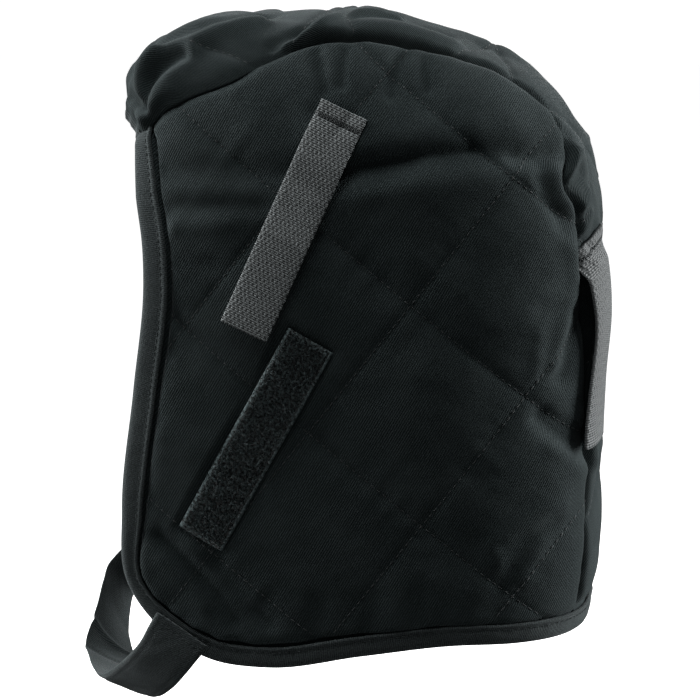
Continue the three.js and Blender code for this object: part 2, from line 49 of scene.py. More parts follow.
def makeCamera():
    # the eye stands at lookAt + away * the direction given by turn and rise
    turn, rise = math.radians(view["turn"]), math.radians(view["rise"])
    toCamera = np.array([math.cos(rise) * math.cos(turn), math.cos(rise) * math.sin(turn), math.sin(rise)])
    camera = bpy.data.cameras.new("camera")
    camera.lens = view["lens"]
    camera.sensor_width = view["sensor"]
    camera.clip_end = 20
    eye = bpy.data.objects.new("camera", camera)
    eye.location = np.array(view["lookAt"]) + view["away"] * toCamera
    eye.rotation_euler = (math.pi / 2 - rise, 0, math.pi / 2 + turn)
    bpy.context.scene.collection.objects.link(eye)
    bpy.context.scene.camera = eye


# soft boxes round the hood, the strongest before the brow and behind the nape
lightRows = [
    # name, place, size, power
    ("boxTop", (0.42, -0.15, 1.4), 0.8, 17),
    ("boxBrowSide", (-0.15, -1.6, 0.5), 1.0, 66),
    ("boxBackSide", (-0.5, 1.7, 0.22), 1.0, 72),
    ("boxFar", (-1.6, 0.1, 0.5), 1.4, 17),
    ("boxLow", (0.7, -0.5, -1.2), 0.8, 18),
]
stageLook = dict(aimAt=(0, 0, -0.17), sky=1.1, fill=0.105, floorZ=-0.75, floorGlow=0.9, floorSize=14.0)


def makeLights():
    # area lamps turned toward one point: tilted up from straight down, then swung to their heading
    for name, place, size, power in lightRows:
        lamp = bpy.data.lights.new(name, "AREA")
        lamp.size = size
        lamp.energy = power
        box = bpy.data.objects.new(name, lamp)
        box.location = place
        aim = np.array(stageLook["aimAt"]) - np.array(place)
        box.rotation_euler = (math.atan2(math.hypot(aim[0], aim[1]), -aim[2]), 0, math.atan2(-aim[0], aim[1]))
        bpy.context.scene.collection.objects.link(box)


def makeSky():
    # white where the camera looks past the hood, dim where it lights the cloth
    world = bpy.data.worlds.new("studio")
    bpy.context.scene.world = world
    world.use_nodes = True
    tree = world.node_tree
    sky = tree.nodes["Background"]
    sky.inputs["Color"].default_value = (1, 1, 1, 1)
    path = tree.nodes.new("ShaderNodeLightPath")
    level = tree.nodes.new("ShaderNodeMapRange")
    level.inputs["To Min"].default_value = stageLook["fill"]
    level.inputs["To Max"].default_value = stageLook["sky"]
    tree.links.new(path.outputs["Is Camera Ray"], level.inputs["Value"])
    tree.links.new(level.outputs["Result"], sky.inputs["Strength"])


def makeFloor():
    # one pale square well below the hood
    half = stageLook["floorSize"] / 2
    z = stageLook["floorZ"]
    mesh = bpy.data.meshes.new("floor")
    corners = [(-half, -half, z), (half, -half, z), (half, half, z), (-half, half, z)]
    mesh.from_pydata(corners, [], [(0, 1, 2, 3)])
    floor = bpy.data.objects.new("floor", mesh)
    pale = bpy.data.materials.new("paleFloor")
    pale.use_nodes = True
    shader = pale.node_tree.nodes["Principled BSDF"]
    shader.inputs["Base Color"].default_value = (0.95, 0.95, 0.95, 1)
    shader.inputs["Roughness"].default_value = 0.9
    shader.inputs["Emission Color"].default_value = (1, 1, 1, 1)
    shader.inputs["Emission Strength"].default_value = stageLook["floorGlow"]
    mesh.materials.append(pale)
    bpy.context.scene.collection.objects.link(floor)
    floor.visible_diffuse = False  # the floor is pale to the eye and throws no light up into the folds
    floor.visible_glossy = False


bpy.context.scene.view_settings.view_transform = "Standard"
makeCamera()
makeLights()
makeSky()
makeFloor()
print("camera, soft boxes and floor made")


# small tools on whole arrays

def smooth(value, low, high):
    # 0 below low, 1 above high, and 3t^2 - 2t^3 between
    t = np.clip((value - low) / (high - low), 0, 1)
    return t * t * (3 - 2 * t)


def rounded(value, low, high):
    # 0 below low, then a quarter circle up to 1 at high
    t = np.clip((value - low) / (high - low), 0, 1)
    return np.sqrt(1 - (1 - t) ** 2)


def mix(a, b, share):
    # straight from a to b
    return a + (b - a) * share


def bell(value, width):
    # 1 at 0, falling off as exp(-(value / width)^2)
    return np.exp(-((value / width) ** 2))


def pairs(a, b):
    # two arrays spread over one grid, side by side
    return np.stack(np.broadcast_arrays(a, b), -1)


def lengthAlong(path):
    # distance from a path's first point to each of its points
    return np.concatenate([[0], np.cumsum(np.linalg.norm(np.diff(path, axis=0), axis=1))])


def rowsAt(want, at, rows):
    # places between the rows of a table, on the straight from one row to the next
    return np.stack([np.interp(want, at, rows[:, k]) for k in range(rows.shape[1])], -1)


def gridAt(grid, row, column):
    # places between the points of a grid, blended straight from the four nearest
    i, j = row.astype(int), column.astype(int)
    s, t = (row - i)[..., None], (column - j)[..., None]
    return mix(mix(grid[i, j], grid[i + 1, j], s), mix(grid[i, j + 1], grid[i + 1, j + 1], s), t)


def ripple(table, u, v):
    # value noise from -1 to 1: four corners of a table of random heights, blended by 3t^2 - 2t^3
    heights = noiseTables[table]
    i, j = np.floor(u).astype(int), np.floor(v).astype(int)
    s, t = smooth(u - i, 0, 1), smooth(v - j, 0, 1)
    i, j, k, m = i % 61, j % 61, (i + 1) % 61, (j + 1) % 61
    return mix(mix(heights[i, j], heights[k, j], s), mix(heights[i, m], heights[k, m], s), t)


def curveThrough(at, value):
    # cubic through the rows of a table, the slope at a row weighed from its two neighbours
    at, value = np.asarray(at, float), np.asarray(value, float)
    step = np.diff(at)
    rise = np.diff(value) / step
    inner = (rise[:-1] * step[1:] + rise[1:] * step[:-1]) / (step[:-1] + step[1:])
    slope = np.concatenate([rise[:1], inner, rise[-1:]])

    def curve(a):
        a = np.asarray(a, float)
        i = np.clip(np.searchsorted(at, a) - 1, 0, len(step) - 1)
        t = (a - at[i]) / step[i]
        u = 1 - t
        ends = (1 + 2 * t) * u * u * value[i] + t * t * (3 - 2 * t) * value[i + 1]
        return ends + t * u * step[i] * (u * slope[i] - t * slope[i + 1])

    return curve


def evenly(path, count):
    # count + 1 points at even distances along a row of points
    along = lengthAlong(path)
    return rowsAt(np.linspace(0, along[-1], count + 1), along, path)


def awayFrom(points, start, end):
    # distance to a straight stretch
    step = np.asarray(end, float) - start
    share = np.clip(((points - start) @ step) / (step @ step), 0, 1)
    return np.linalg.norm(points - start - share[..., None] * step, axis=-1)


def awayFromPath(points, path):
    # distance to the nearest of a path's straight stretches
    best = np.full(points.shape[:-1], np.inf)
    for start, end in zip(path[:-1], path[1:]):
        best = np.minimum(best, awayFrom(points, start, end))
    return best


def unit(v):
    # vectors divided by their own lengths
    return v / np.linalg.norm(v, axis=-1, keepdims=True)


def mirrored(points):
    # x becomes -x
    return points * np.array([-1.0, 1.0, 1.0])


# the smooth form: |x / halfWidth|^3 + (r / reach)^3 = 1, r in the side view from the middle, reach by angle
form = dict(middleY=10, middleZ=-130, halfWidth=76)
reachRows = [
    # angle up from straight back, reach
    (-180, 159), (-155, 186), (-131, 268), (-95, 360), (-70, 281), (-55, 206.4), (-45, 172.4),
    (-36, 150), (-23, 130.5), (-7, 121.5), (7, 121), (20, 127), (35, 133.4), (54, 134.8),
    (74, 131.4), (92, 137.2), (109, 142.2), (124, 159.5), (135, 163), (146, 154.2), (165, 155),
]
seamRows = [
    # angle, half width of the crown panel; the side panel bulges over it near 43 and is pinched in near 28
    (-60, 34), (-50, 33.5), (-38, 32.5), (-24, 31.5), (-12, 33.5), (0, 37.5), (8, 41), (13.5, 40), (18, 40.5),
    (23, 43), (26.5, 46), (29, 45), (31.5, 38), (35, 32.5), (40, 29.5), (47, 29.5), (57, 32), (66, 33.5),
    (75, 35.5), (84, 40), (93, 44), (101, 46.5), (106, 49.5), (112, 54.5), (118, 60), (131, 61), (146, 54),
]
edgeRows = [
    # y, z of a side panel's cut edge, from the temple round the jaw to the nape
    (-99.9, -84), (-96, -106), (-95, -128), (-100.7, -182), (-107.3, -246), (-105.4, -282.5), (-89.5, -304.5),
    (-63, -320), (-33, -323), (16, -314.9), (62, -308.5), (92, -307.8),
]
hem = dict(browAngle=147.5, browRise=2.5, napeZ=-306.8, seamGap=0.06)
wall = dict(full=8, stitchOut=2.7, stitchIn=6.4, edgeOut=2.9, edgeIn=5.5, seamDrop=3.0, least=1.8)

wrapped = [(a - 360, r) for a, r in reachRows[-3:]] + reachRows + [(a + 360, r) for a, r in reachRows[:3]]
reachCurve = curveThrough(*zip(*wrapped))
seamHalf = curveThrough(*zip(*seamRows))


def reachAt(angle):
    # the reach at any angle, brought into one turn first
    return reachCurve((np.asarray(angle, float) + 180) % 360 - 180)


def angleOf(y, z):
    # angle up from straight back round the form's middle, in degrees
    return np.degrees(np.arctan2(z - form["middleZ"], y - form["middleY"]))


def sidePoint(y, z):
    # the form's point on the wearer's left by its place in the side view
    share = np.hypot(y - form["middleY"], z - form["middleZ"]) / reachAt(angleOf(y, z))
    x = form["halfWidth"] * np.maximum(0, 1 - share**3) ** (1 / 3)
    return np.stack([x, y, z], -1)


def crownPoint(angle, x):
    # the form's point by angle round the crown and distance off the middle
    angle, x = np.broadcast_arrays(np.asarray(angle, float), np.asarray(x, float))
    r = (1 - np.abs(x / form["halfWidth"]) ** 3) ** (1 / 3) * reachAt(angle)
    y = form["middleY"] + r * np.cos(np.radians(angle))
    z = form["middleZ"] + r * np.sin(np.radians(angle))
    return np.stack([x, y, z], -1)


def normalAt(point):
    # outward normal: the gradient of the form's formula
    x, y, z = point[..., 0], point[..., 1], point[..., 2]
    angle = angleOf(y, z)
    reach = reachAt(angle)
    turn = (reachAt(angle + 0.5) - reachAt(angle - 0.5)) / math.radians(1)
    pull = (np.hypot(y - form["middleY"], z - form["middleZ"]) / reach) ** 2
    cos, sin = np.cos(np.radians(angle)), np.sin(np.radians(angle))
    acrossX = x * np.abs(x) / form["halfWidth"] ** 3
    acrossY = pull / reach * cos + pull * turn / reach**2 * sin
    acrossZ = pull / reach * sin - pull * turn / reach**2 * cos
    return unit(np.stack([acrossX, acrossY, acrossZ], -1))


def sunk(point, depth):
    # points of the form moved in along their normals
    return point - normalAt(point) * np.asarray(depth)[..., None]


def napeAngle(x):
    # angle at which the crown panel reaches the nape hem, by halving the range
    low = np.full(np.shape(x), -62.0)
    high = np.full(np.shape(x), -48.0)
    for _ in range(30):
        middle = (low + high) / 2
        below = crownPoint(middle, x)[..., 2] < hem["napeZ"]
        low, high = np.where(below, middle, low), np.where(below, high, middle)
    return (low + high) / 2


seamEnd = float(napeAngle(seamHalf(-57.0)))
seamFine = np.linspace(hem["browAngle"], seamEnd, 401)
seamLine = crownPoint(seamFine, seamHalf(seamFine))
seamLength = lengthAlong(seamLine)


def seamAngles(count):
    # angles at even distances along the seam
    return np.interp(np.linspace(0, seamLength[-1], count + 1), seamLength, seamFine)


def seamSide(angle):
    # a side panel's edge at the seam, off the seam line by the gap
    return crownPoint(angle, seamHalf(angle) + hem["seamGap"])


middleAngles = np.linspace(150, -66, 700)
middleLine = crownPoint(middleAngles, 0)
middleLength = lengthAlong(middleLine)
middleLength -= np.interp(0, middleLine[:400, 1], middleLength[:400])


def alongCrown(angle):
    # distance along the middle of the crown panel, 0 straight above the origin, back positive
    return np.interp(-np.asarray(angle, float), -middleAngles, middleLength)


def angleAlong(along):
    # the angle at a distance along the crown's middle
    return np.interp(along, middleLength, middleAngles)


edgeReach = lengthAlong(np.array(edgeRows))
edgeAt = np.linspace(0, edgeReach[-1], 301)
edgeFine = np.stack([curveThrough(edgeReach, [row[k] for row in edgeRows])(edgeAt) for k in (0, 1)], -1)
templeCorner = seamSide(hem["browAngle"])[1:]
napeCorner = seamSide(seamEnd)[1:]
edgePath = np.vstack([templeCorner, edgeFine, napeCorner])
seamPath = seamSide(seamAngles(160))
panelOutline = np.vstack([edgePath, seamPath[::-1, 1:]])
print("smooth form ready")


# finishes

def addNode(tree, kind, inputs=None, **settings):
    # inputs are sockets to link or plain values
    node = tree.nodes.new(kind)
    for key, value in settings.items():
        setattr(node, key, value)
    for key, value in (inputs or {}).items():
        if isinstance(value, bpy.types.NodeSocket):
            tree.links.new(value, node.inputs[key])
        else:
            node.inputs[key].default_value = value
    return node


def maths(tree, operation, a, b=0.0):
    # one sum on two sockets or plain values
    return addNode(tree, "ShaderNodeMath", {0: a, 1: b}, operation=operation).outputs[0]


def weighed(tree, level, *terms):
    # a level plus each socket times its weight
    total = level
    for socket, weight in terms:
        part = socket if weight == 1 else maths(tree, "MULTIPLY", socket, weight)
        total = maths(tree, "ADD", part, total)
    return total


def bands(tree, cloth, direction, pitch, bend=None):
    # sine across a direction of the cloth, one wave to each pitch in millimetres
    across = addNode(tree, "ShaderNodeVectorMath", {0: cloth, 1: (*direction, 0)}, operation="DOT_PRODUCT")
    turns = maths(tree, "MULTIPLY", across.outputs["Value"], 2 * math.pi / pitch)
    if bend is not None:
        turns = maths(tree, "ADD", turns, bend)
    return maths(tree, "SINE", turns)


def specks(tree, cloth, scale, detail=2.0):
    # noise from 0 to 1
    noise = addNode(tree, "ShaderNodeTexNoise", {"Vector": cloth, "Scale": scale, "Detail": detail})
    return noise.outputs["Fac"]


def newFinish(name, look):
    # a cloth that reads its piece's UV map, in millimetres
    finish = bpy.data.materials.new(name)
    finish.use_nodes = True
    tree = finish.node_tree
    shader = tree.nodes["Principled BSDF"]
    shader.inputs["Roughness"].default_value = look["roughness"]
    shader.inputs["Specular IOR Level"].default_value = look["gloss"]
    shader.inputs["Sheen Weight"].default_value = look["sheen"]
    shader.inputs["Sheen Roughness"].default_value = look["sheenSpread"]
    shader.inputs["Sheen Tint"].default_value = (*look["sheenTint"], 1)
    cloth = addNode(tree, "ShaderNodeUVMap", uv_map="cloth")
    return finish, tree, shader, cloth.outputs["UV"]


def mixColour(tree, share, a, b):
    # each colour is a socket or a plain value
    node = addNode(tree, "ShaderNodeMix", data_type="RGBA")
    tree.links.new(share, node.inputs[0])
    for place, value in ((6, a), (7, b)):
        if isinstance(value, bpy.types.NodeSocket):
            tree.links.new(value, node.inputs[place])
        else:
            node.inputs[place].default_value = (*value, 1)
    return node.outputs[2]


def paint(tree, shader, share, dark, light):
    # base colour from dark to light
    tree.links.new(mixColour(tree, share, dark, light), shader.inputs["Base Color"])


def relief(tree, shader, height, depth, strength):
    # the weave's height as a bump
    bump = addNode(tree, "ShaderNodeBump", {"Height": height, "Distance": depth, "Strength": strength})
    tree.links.new(bump.outputs["Normal"], shader.inputs["Normal"])


twill = dict(
    pitch=1.15, direction=(0.87, -0.5), pickPitch=0.9, pickDirection=(0.5, 0.87), fibre=1.15, bend=2.2,
    cloud=0.035, level=0.36, ridge=0.48, pick=0.06, fleck=2.3, dark=(0.0072, 0.0114, 0.0119),
    light=(0.031, 0.0412, 0.0424), worn=(0.041, 0.0525, 0.0538), roughness=0.9, gloss=0.12, sheen=0.07,
    sheenSpread=0.35, sheenTint=(0.86, 0.96, 1.0), depth=0.00032,
)


def makeTwill():
    # slanting ridges with faint picks across them, bent and flecked by noise, and paler in clouds
    finish, tree, shader, cloth = newFinish("quiltedTwill", twill)
    fibre = weighed(tree, -0.5, (specks(tree, cloth, twill["fibre"], 3.0), 1))
    bend = maths(tree, "MULTIPLY", specks(tree, cloth, 0.5), twill["bend"])
    lines = bands(tree, cloth, twill["direction"], twill["pitch"], bend)
    picks = bands(tree, cloth, twill["pickDirection"], twill["pickPitch"], bend)
    weave = weighed(tree, 0.0, (lines, twill["ridge"]), (picks, twill["pick"]))
    share = weighed(tree, twill["level"], (weave, 1), (fibre, twill["fleck"]))
    cloud = weighed(tree, -0.45, (specks(tree, cloth, twill["cloud"], 3.0), 1))
    paint(tree, shader, cloud, mixColour(tree, share, twill["dark"], twill["light"]), twill["worn"])
    relief(tree, shader, maths(tree, "ADD", weave, fibre), twill["depth"], 0.8)
    return finish


ribbing = dict(
    pitch=0.95, direction=(0.97, 0.24), fibre=1.2, bend=2.5, level=0.42, ridge=0.32, fleck=2.0,
    dark=(0.0138, 0.0178, 0.0184), light=(0.06, 0.0718, 0.0735), roughness=0.88, gloss=0.12, sheen=0.15,
    sheenSpread=0.35, sheenTint=(0.88, 0.97, 1.0), depth=0.0004,
)


def makeRibbing():
    # fine ribs across the tape, bent and flecked by noise
    finish, tree, shader, cloth = newFinish("bindingTwill", ribbing)
    fibre = weighed(tree, -0.5, (specks(tree, cloth, ribbing["fibre"], 3.0), 1))
    bend = maths(tree, "MULTIPLY", specks(tree, cloth, 0.4), ribbing["bend"])
    wave = bands(tree, cloth, ribbing["direction"], ribbing["pitch"], bend)
    ribs = maths(tree, "MULTIPLY", wave, ribbing["ridge"])
    share = weighed(tree, ribbing["level"], (ribs, 1), (fibre, ribbing["fleck"]))
    paint(tree, shader, share, ribbing["dark"], ribbing["light"])
    relief(tree, shader, maths(tree, "ADD", ribs, fibre), ribbing["depth"], 0.8)
    return finish


webbing = dict(
    columns=2.34, floats=4.3, weft=1.07, fibre=1.3, bend=0.9, level=0.42, dot=0.62, pick=0.5, fleck=1.6,
    # the back straps' two tones are painted shade: the same webbing as the side straps, made darker and
    # flatter
    dark=(0.017, 0.0195, 0.02), light=(0.205, 0.228, 0.232), shadedBackDark=(0.05, 0.0555, 0.0565),
    shadedBackLight=(0.083, 0.091, 0.093), roughness=0.6, gloss=0.3, sheen=0.04, sheenSpread=0.35,
    sheenTint=(0.92, 0.98, 1.0), depth=0.00035,
)


def makeWebbing(name, dark, light):
    # dots where columns and floats cross, over fine weft lines, flecked by noise
    finish, tree, shader, cloth = newFinish(name, webbing)
    fibre = weighed(tree, -0.5, (specks(tree, cloth, webbing["fibre"], 3.0), 1))
    bend = maths(tree, "MULTIPLY", specks(tree, cloth, 0.5), webbing["bend"])
    columns = bands(tree, cloth, (1, 0), webbing["columns"], bend)
    floats = bands(tree, cloth, (0, 1), webbing["floats"], bend)
    weft = bands(tree, cloth, (0, 1), webbing["weft"])
    crossed = maths(tree, "MULTIPLY", columns, floats)
    dots = weighed(tree, 0.0, (crossed, webbing["dot"]), (weft, webbing["pick"]))
    share = weighed(tree, webbing["level"], (dots, 1), (fibre, webbing["fleck"]))
    paint(tree, shader, share, dark, light)
    relief(tree, shader, weighed(tree, 0.0, (dots, 1), (fibre, 0.5)), webbing["depth"], 0.8)
    return finish


pile = dict(
    # the pale end of the specks is painted glint on the black loops; the selvages are paler of their own
    fibre=0.7, level=-0.44, contrast=2.8, selvageFrom=11.3, selvage=0.35, dark=(0.0018, 0.0029, 0.0031),
    light=(0.124, 0.166, 0.172), roughness=0.45, gloss=0.15, sheen=0.0, sheenSpread=0.4,
    sheenTint=(0.9, 0.97, 1.0),
)


def makePile():
    # noise of strong contrast, paler along the two selvages; the dark tone is the black loops' own, the pale
    # specks are painted glint on them
    finish, tree, shader, cloth = newFinish("loopPile", pile)
    noise = weighed(tree, pile["level"], (specks(tree, cloth, pile["fibre"]), 1))
    fibre = maths(tree, "MULTIPLY", noise, pile["contrast"])
    across = addNode(tree, "ShaderNodeSeparateXYZ", {0: cloth}).outputs["X"]
    selvage = maths(tree, "GREATER_THAN", maths(tree, "ABSOLUTE", across), pile["selvageFrom"])
    share = weighed(tree, 0.0, (fibre, 1), (selvage, pile["selvage"]))
    paint(tree, shader, share, pile["dark"], pile["light"])
    relief(tree, shader, fibre, 0.0005, 0.9)
    return finish


thread = dict(
    # the pale tone is painted glint on black thread
    direction=(0.8, 0.6), pitch=0.35, dark=(0.016, 0.019, 0.0195), light=(0.076, 0.084, 0.086), roughness=0.6,
    gloss=0.12, sheen=0.15, sheenSpread=0.4, sheenTint=(0.92, 0.98, 1.0),
)


def makeThread():
    # two plies twisted, flecked by noise; the dark tone is the black thread's own, the paler plies and flecks
    # are painted glint
    finish, tree, shader, cloth = newFinish("sewingThread", thread)
    ply = bands(tree, cloth, thread["direction"], thread["pitch"])
    share = weighed(tree, 0.0, (ply, 0.3), (specks(tree, cloth, 1.5), 1))
    paint(tree, shader, share, thread["dark"], thread["light"])
    relief(tree, shader, ply, 0.0001, 0.5)
    return finish


twillCloth = makeTwill()
bindingCloth = makeRibbing()
strapCloth = makeWebbing("strapWebbing", webbing["dark"], webbing["light"])
# the back straps wear a darker, flatter copy of the side straps' webbing: painted shade
shadedBackStrapCloth = makeWebbing("shadedBackStrapWebbing", webbing["shadedBackDark"], webbing["shadedBackLight"])
pileCloth = makePile()
threadCloth = makeThread()
print("finishes made")


# meshes

def gridFaces(rows, columns, first=0):
    # a quad between each two rows and columns of points
    i = np.arange(rows - 1)[:, None] * columns + np.arange(columns - 1) + first
    return np.stack([i, i + columns, i + columns + 1, i + 1], -1).reshape(-1, 4)


def putMesh(name, points, faces, uv, finish):
    # whole arrays into one mesh, turned so that its signed volume is positive
    a, b, c, d = (points[faces[:, k]] for k in range(4))
    volume = np.sum(np.cross(b - a, c - a) * a) + np.sum(np.cross(c - a, d - a) * a)
    if volume < 0:
        faces = faces[:, ::-1]
    mesh = bpy.data.meshes.new(name)
    mesh.vertices.add(len(points))
    mesh.vertices.foreach_set("co", (points * toMetres).astype(np.float32).ravel())
    mesh.loops.add(faces.size)
    mesh.loops.foreach_set("vertex_index", faces.astype(np.int32).ravel())
    mesh.polygons.add(len(faces))
    mesh.polygons.foreach_set("loop_start", np.arange(0, faces.size, 4, dtype=np.int32))
    mesh.polygons.foreach_set("use_smooth", np.ones(len(faces), bool))
    layer = mesh.uv_layers.new(name="cloth")
    layer.data.foreach_set("uv", uv[faces.ravel()].astype(np.float32).ravel())
    mesh.update(calc_edges=True)
    mesh.materials.append(finish)
    piece = bpy.data.objects.new(name, mesh)
    bpy.context.scene.collection.objects.link(piece)
    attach(piece, "root")
    return piece


def sheetBetween(name, outer, inner, uv, finish):
    # an outer and an inner grid of the same cells, with a rim round both
    rows, columns = outer.shape[:2]
    count = rows * columns
    out = np.arange(count).reshape(rows, columns)
    ring = np.concatenate([out[:-1, 0], out[-1, :-1], out[:0:-1, -1], out[0, :0:-1]])
    after = np.roll(ring, -1)
    rim = np.stack([ring, ring + count, after + count, after], -1)
    faces = np.concatenate([gridFaces(rows, columns), gridFaces(rows, columns, count)[:, ::-1], rim])
    points = np.concatenate([outer.reshape(-1, 3), inner.reshape(-1, 3)])
    both = np.concatenate([uv.reshape(-1, 2), uv.reshape(-1, 2)])
    return putMesh(name, points, faces, both, finish)


stitchShape = dict(length=2.7, pitch=3.9, radius=0.27, bury=0.45)


def tubes(lines, wide, up, radius):
    # a closed tube round each line: rings of four corners, line + radius * (wide * cos + up * sin)
    corner = np.radians([45, 135, 225, 315])
    spokes = wide[:, :, None] * np.cos(corner)[:, None] + up[:, :, None] * np.sin(corner)[:, None]
    points = lines[:, :, None] + radius * spokes
    count, rings = lines.shape[:2]
    last = 4 * (rings - 1)
    a = np.arange(last)
    b = a - a % 4 + (a + 1) % 4
    sides = np.stack([a, b, b + 4, a + 4], -1)
    ends = np.array([(3, 2, 1, 0), (last, last + 1, last + 2, last + 3)])
    faces = np.arange(count)[:, None, None] * 4 * rings + np.concatenate([sides, ends])
    return points.reshape(-1, 3), faces.reshape(-1, 4)


def stitchRows(name, runs, finish=None, slot="quilted_twill", **changes):
    # each stitch is a bent capsule of four rings: the path's point, lifted by its radius in the middle and
    # sunk at its ends; a run is a path of points with their normals
    shape = {**stitchShape, **changes}
    length, radius = shape["length"], shape["radius"]
    ringAt = np.array([-0.5, -0.28, 0.28, 0.5]) * length
    ringLift = np.array([-shape["bury"], 0.9, 0.9, -shape["bury"]]) * radius
    ringWide = np.array([0.55, 1.0, 1.0, 0.55]) * radius
    rows = []
    for path, normals in runs:
        along = lengthAlong(path)
        room = along[-1] - length
        count = int(room / shape["pitch"])
        if count < 1:
            continue
        at = (length / 2 + (np.arange(count) + 0.5) * room / count)[:, None] + ringAt
        spot = rowsAt(at, along, path)
        up = unit(rowsAt(at, along, normals))
        wide = unit(np.cross(unit(np.gradient(spot, axis=1)), up))
        rows.append((spot + up * ringLift[:, None], wide, up, at))
    spot, wide, up, at = (np.concatenate(part) for part in zip(*rows))
    points, faces = tubes(spot, wide, up, ringWide[:, None, None])
    uv = pairs(at[:, :, None], np.linspace(0, 1, 4)).reshape(-1, 2)
    putMesh(name, points, faces, uv, finish or threadCloth)


def insideOutline(places, outline):
    # odd number of crossings of the outline to one side
    inside = np.zeros(places.shape[:-1], bool)
    y, z = places[..., 0], places[..., 1]
    for (ya, za), (yb, zb) in zip(outline, np.roll(outline, -1, axis=0)):
        if za == zb:
            continue
        crosses = ((za > z) != (zb > z)) & (y < (yb - ya) * (z - za) / (zb - za) + ya)
        inside ^= crosses
    return inside


def runsOf(keep, shortest=12):
    # first and last place of each unbroken stretch of True that is longer than the shortest
    edges = np.flatnonzero(np.diff(np.concatenate([[0], keep.astype(int), [0]])))
    return [(a, b) for a, b in zip(edges[::2], edges[1::2]) if b - a > shortest]


# side panels: quilted in diamonds, with the dents and ridges that wear and packing leave
quilt = dict(
    point=(38.2, -137.2), alongA=(0.777, -0.629), alongB=(-0.616, -0.788),
    linesA=[-165, -85, -4, 80, 161, 241], linesB=[-162, -82, 0, 74, 133, 210],
    sharpness=0.5, round=1.3, groove=0.4, grooveWide=2.2,
)
panelCells = dict(along=255, across=192)
foldRows = [
    # width, depth (under 0 is a ridge), then y, z of the points along it
    (7.5, 3.1, (6, -69), (28, -65), (48, -60.5), (80, -57.5), (106, -58)),
    (6, 2.6, (2, -69.5), (28, -65), (38, -62.5)),
    (9, -1.7, (14, -78), (50, -72), (96, -69)),
    (9, -1.2, (-10, -52), (70, -46)),
    (8, 1.6, (-84, -71), (-40, -69), (-2, -69)),
    (6, -0.6, (-86, -78), (-50, -77), (-20, -77)),
    (5, 1.3, (-88, -88), (-60, -87), (-36, -86)),
    (6, -1.1, (-86, -99), (-52, -94)),
    (7, 1.2, (-88, -112), (-60, -117)),
    (4, -1.8, (117, -100), (121, -114), (122, -127), (118.5, -139), (115, -155), (112.5, -165)),
    (4.5, 2.6, (126, -130), (122.5, -146), (118.5, -160), (116, -172)),
    (4, -0.9, (104, -150), (103, -168)),
    (4.5, 2.9, (-88, -258), (-74, -271), (-60, -286), (-50, -300)),
    (5, -1.1, (-86, -270), (-66, -292)),
    (5, 2.0, (-62, -268), (-46, -286), (-32, -300)),
    (5, -0.8, (-72, -262), (-40, -290)),
    (4.5, -1.0, (116, -237), (95, -246), (81, -255), (86, -265)),
    (5, 0.8, (112, -246), (98, -255), (93, -267)),
    (6, 0.6, (108, -228), (90, -240), (72, -254)),
    (4.5, -0.7, (106, -257), (98, -278)),
    (4.5, 0.7, (90, -270), (84, -290)),
    (2.6, 1.6, (4, -66.5), (30, -62), (48, -58.5), (70, -56)),
    (6, 0.5, (74, -258), (66, -288)),
    (3.2, 2.2, (-9, -10), (-4, -28)),
    (3.0, 1.9, (4, -9), (4, -25)),
    (3.6, 2.3, (32, -11), (29, -29)),
    (3.2, 1.9, (43, -12), (47, -26)),
    (4.5, 2.4, (114, -61), (104, -62), (92, -60)),
    (5, -1.5, (106, -40), (114, -50)),
    (3.5, -1.6, (110, -66), (117, -80), (122, -92)),
    (3.5, 2.0, (104, -72), (112, -88), (117, -100)),
    (5, 1.0, (122, -140), (106, -136)),
    (5, 2.8, (106, -192), (116, -203), (126, -213)),
    (5, -1.4, (112, -207), (120, -213), (126, -222)),
    (6, 1.0, (20, -302), (24, -284)),
    (6, 1.0, (-8, -307), (-6, -288)),
    (6, 0.9, (44, -298), (46, -282)),
]
wrinkle = dict(broad=0.5, middle=0.3, fine=0.12, pucker=0.42, hemPucker=1.3, seamPucker=1.6)
panelEdge = dict(
    binding=12, dentTo=18, puffTo=19, heldTo=22, scallop=0.9, trench=2.6, trenchAt=12.2, trenchWide=1.3,
)
inchTape = 25.4
strapPlace = dict(fromY=6.6, fromZ=-37.4, toY=-42.4, toZ=-148, length=121)
patchPlace = dict(fromY=-9.2, fromZ=-152.4, toY=-66.6, toZ=-256.9, length=119)


def quiltPlace(y, z):
    # coordinates along the two quilting directions
    (ay, az), (by, bz) = quilt["alongA"], quilt["alongB"]
    dy, dz = y - quilt["point"][0], z - quilt["point"][1]
    cross = ay * bz - az * by
    return (dy * bz - dz * by) / cross, (ay * dz - az * dy) / cross


def cellsBetween(value, lines):
    # 0 on a line and 1 half way between two, and the distance to the nearest line
    lines = np.asarray(lines, float)
    i = np.clip(np.searchsorted(lines, value) - 1, 0, len(lines) - 2)
    half = (lines[i + 1] - lines[i]) / 2
    near = np.minimum(np.abs(value - lines[i]), np.abs(value - lines[i + 1]))
    q = np.clip((np.hypot(near, quilt["round"]) - quilt["round"]) / (half - 0.5 * quilt["round"]), 0, 1)
    return (1 - (1 - q) ** 2) ** quilt["sharpness"], near


def tapePlace(y, z, place):
    # share along a sewn tape, and millimetres off its middle line, in the side view
    start = np.array([place["fromY"], place["fromZ"]])
    run = np.array([place["toY"], place["toZ"]]) - start
    dy, dz = y - start[0], z - start[1]
    length = np.hypot(*run)
    return (dy * run[0] + dz * run[1]) / length**2, (dy * -run[1] + dz * run[0]) / length


def bindingWidth(z):
    # share of the binding's full width, narrower at the temple, jaw corner and hem
    return np.interp(z, [-320, -308, -297, -285, -272, -250, -230, -130, -80, -45],
                     [0.85, 0.82, 0.68, 0.58, 0.64, 0.83, 0.96, 1.08, 1, 0.82])


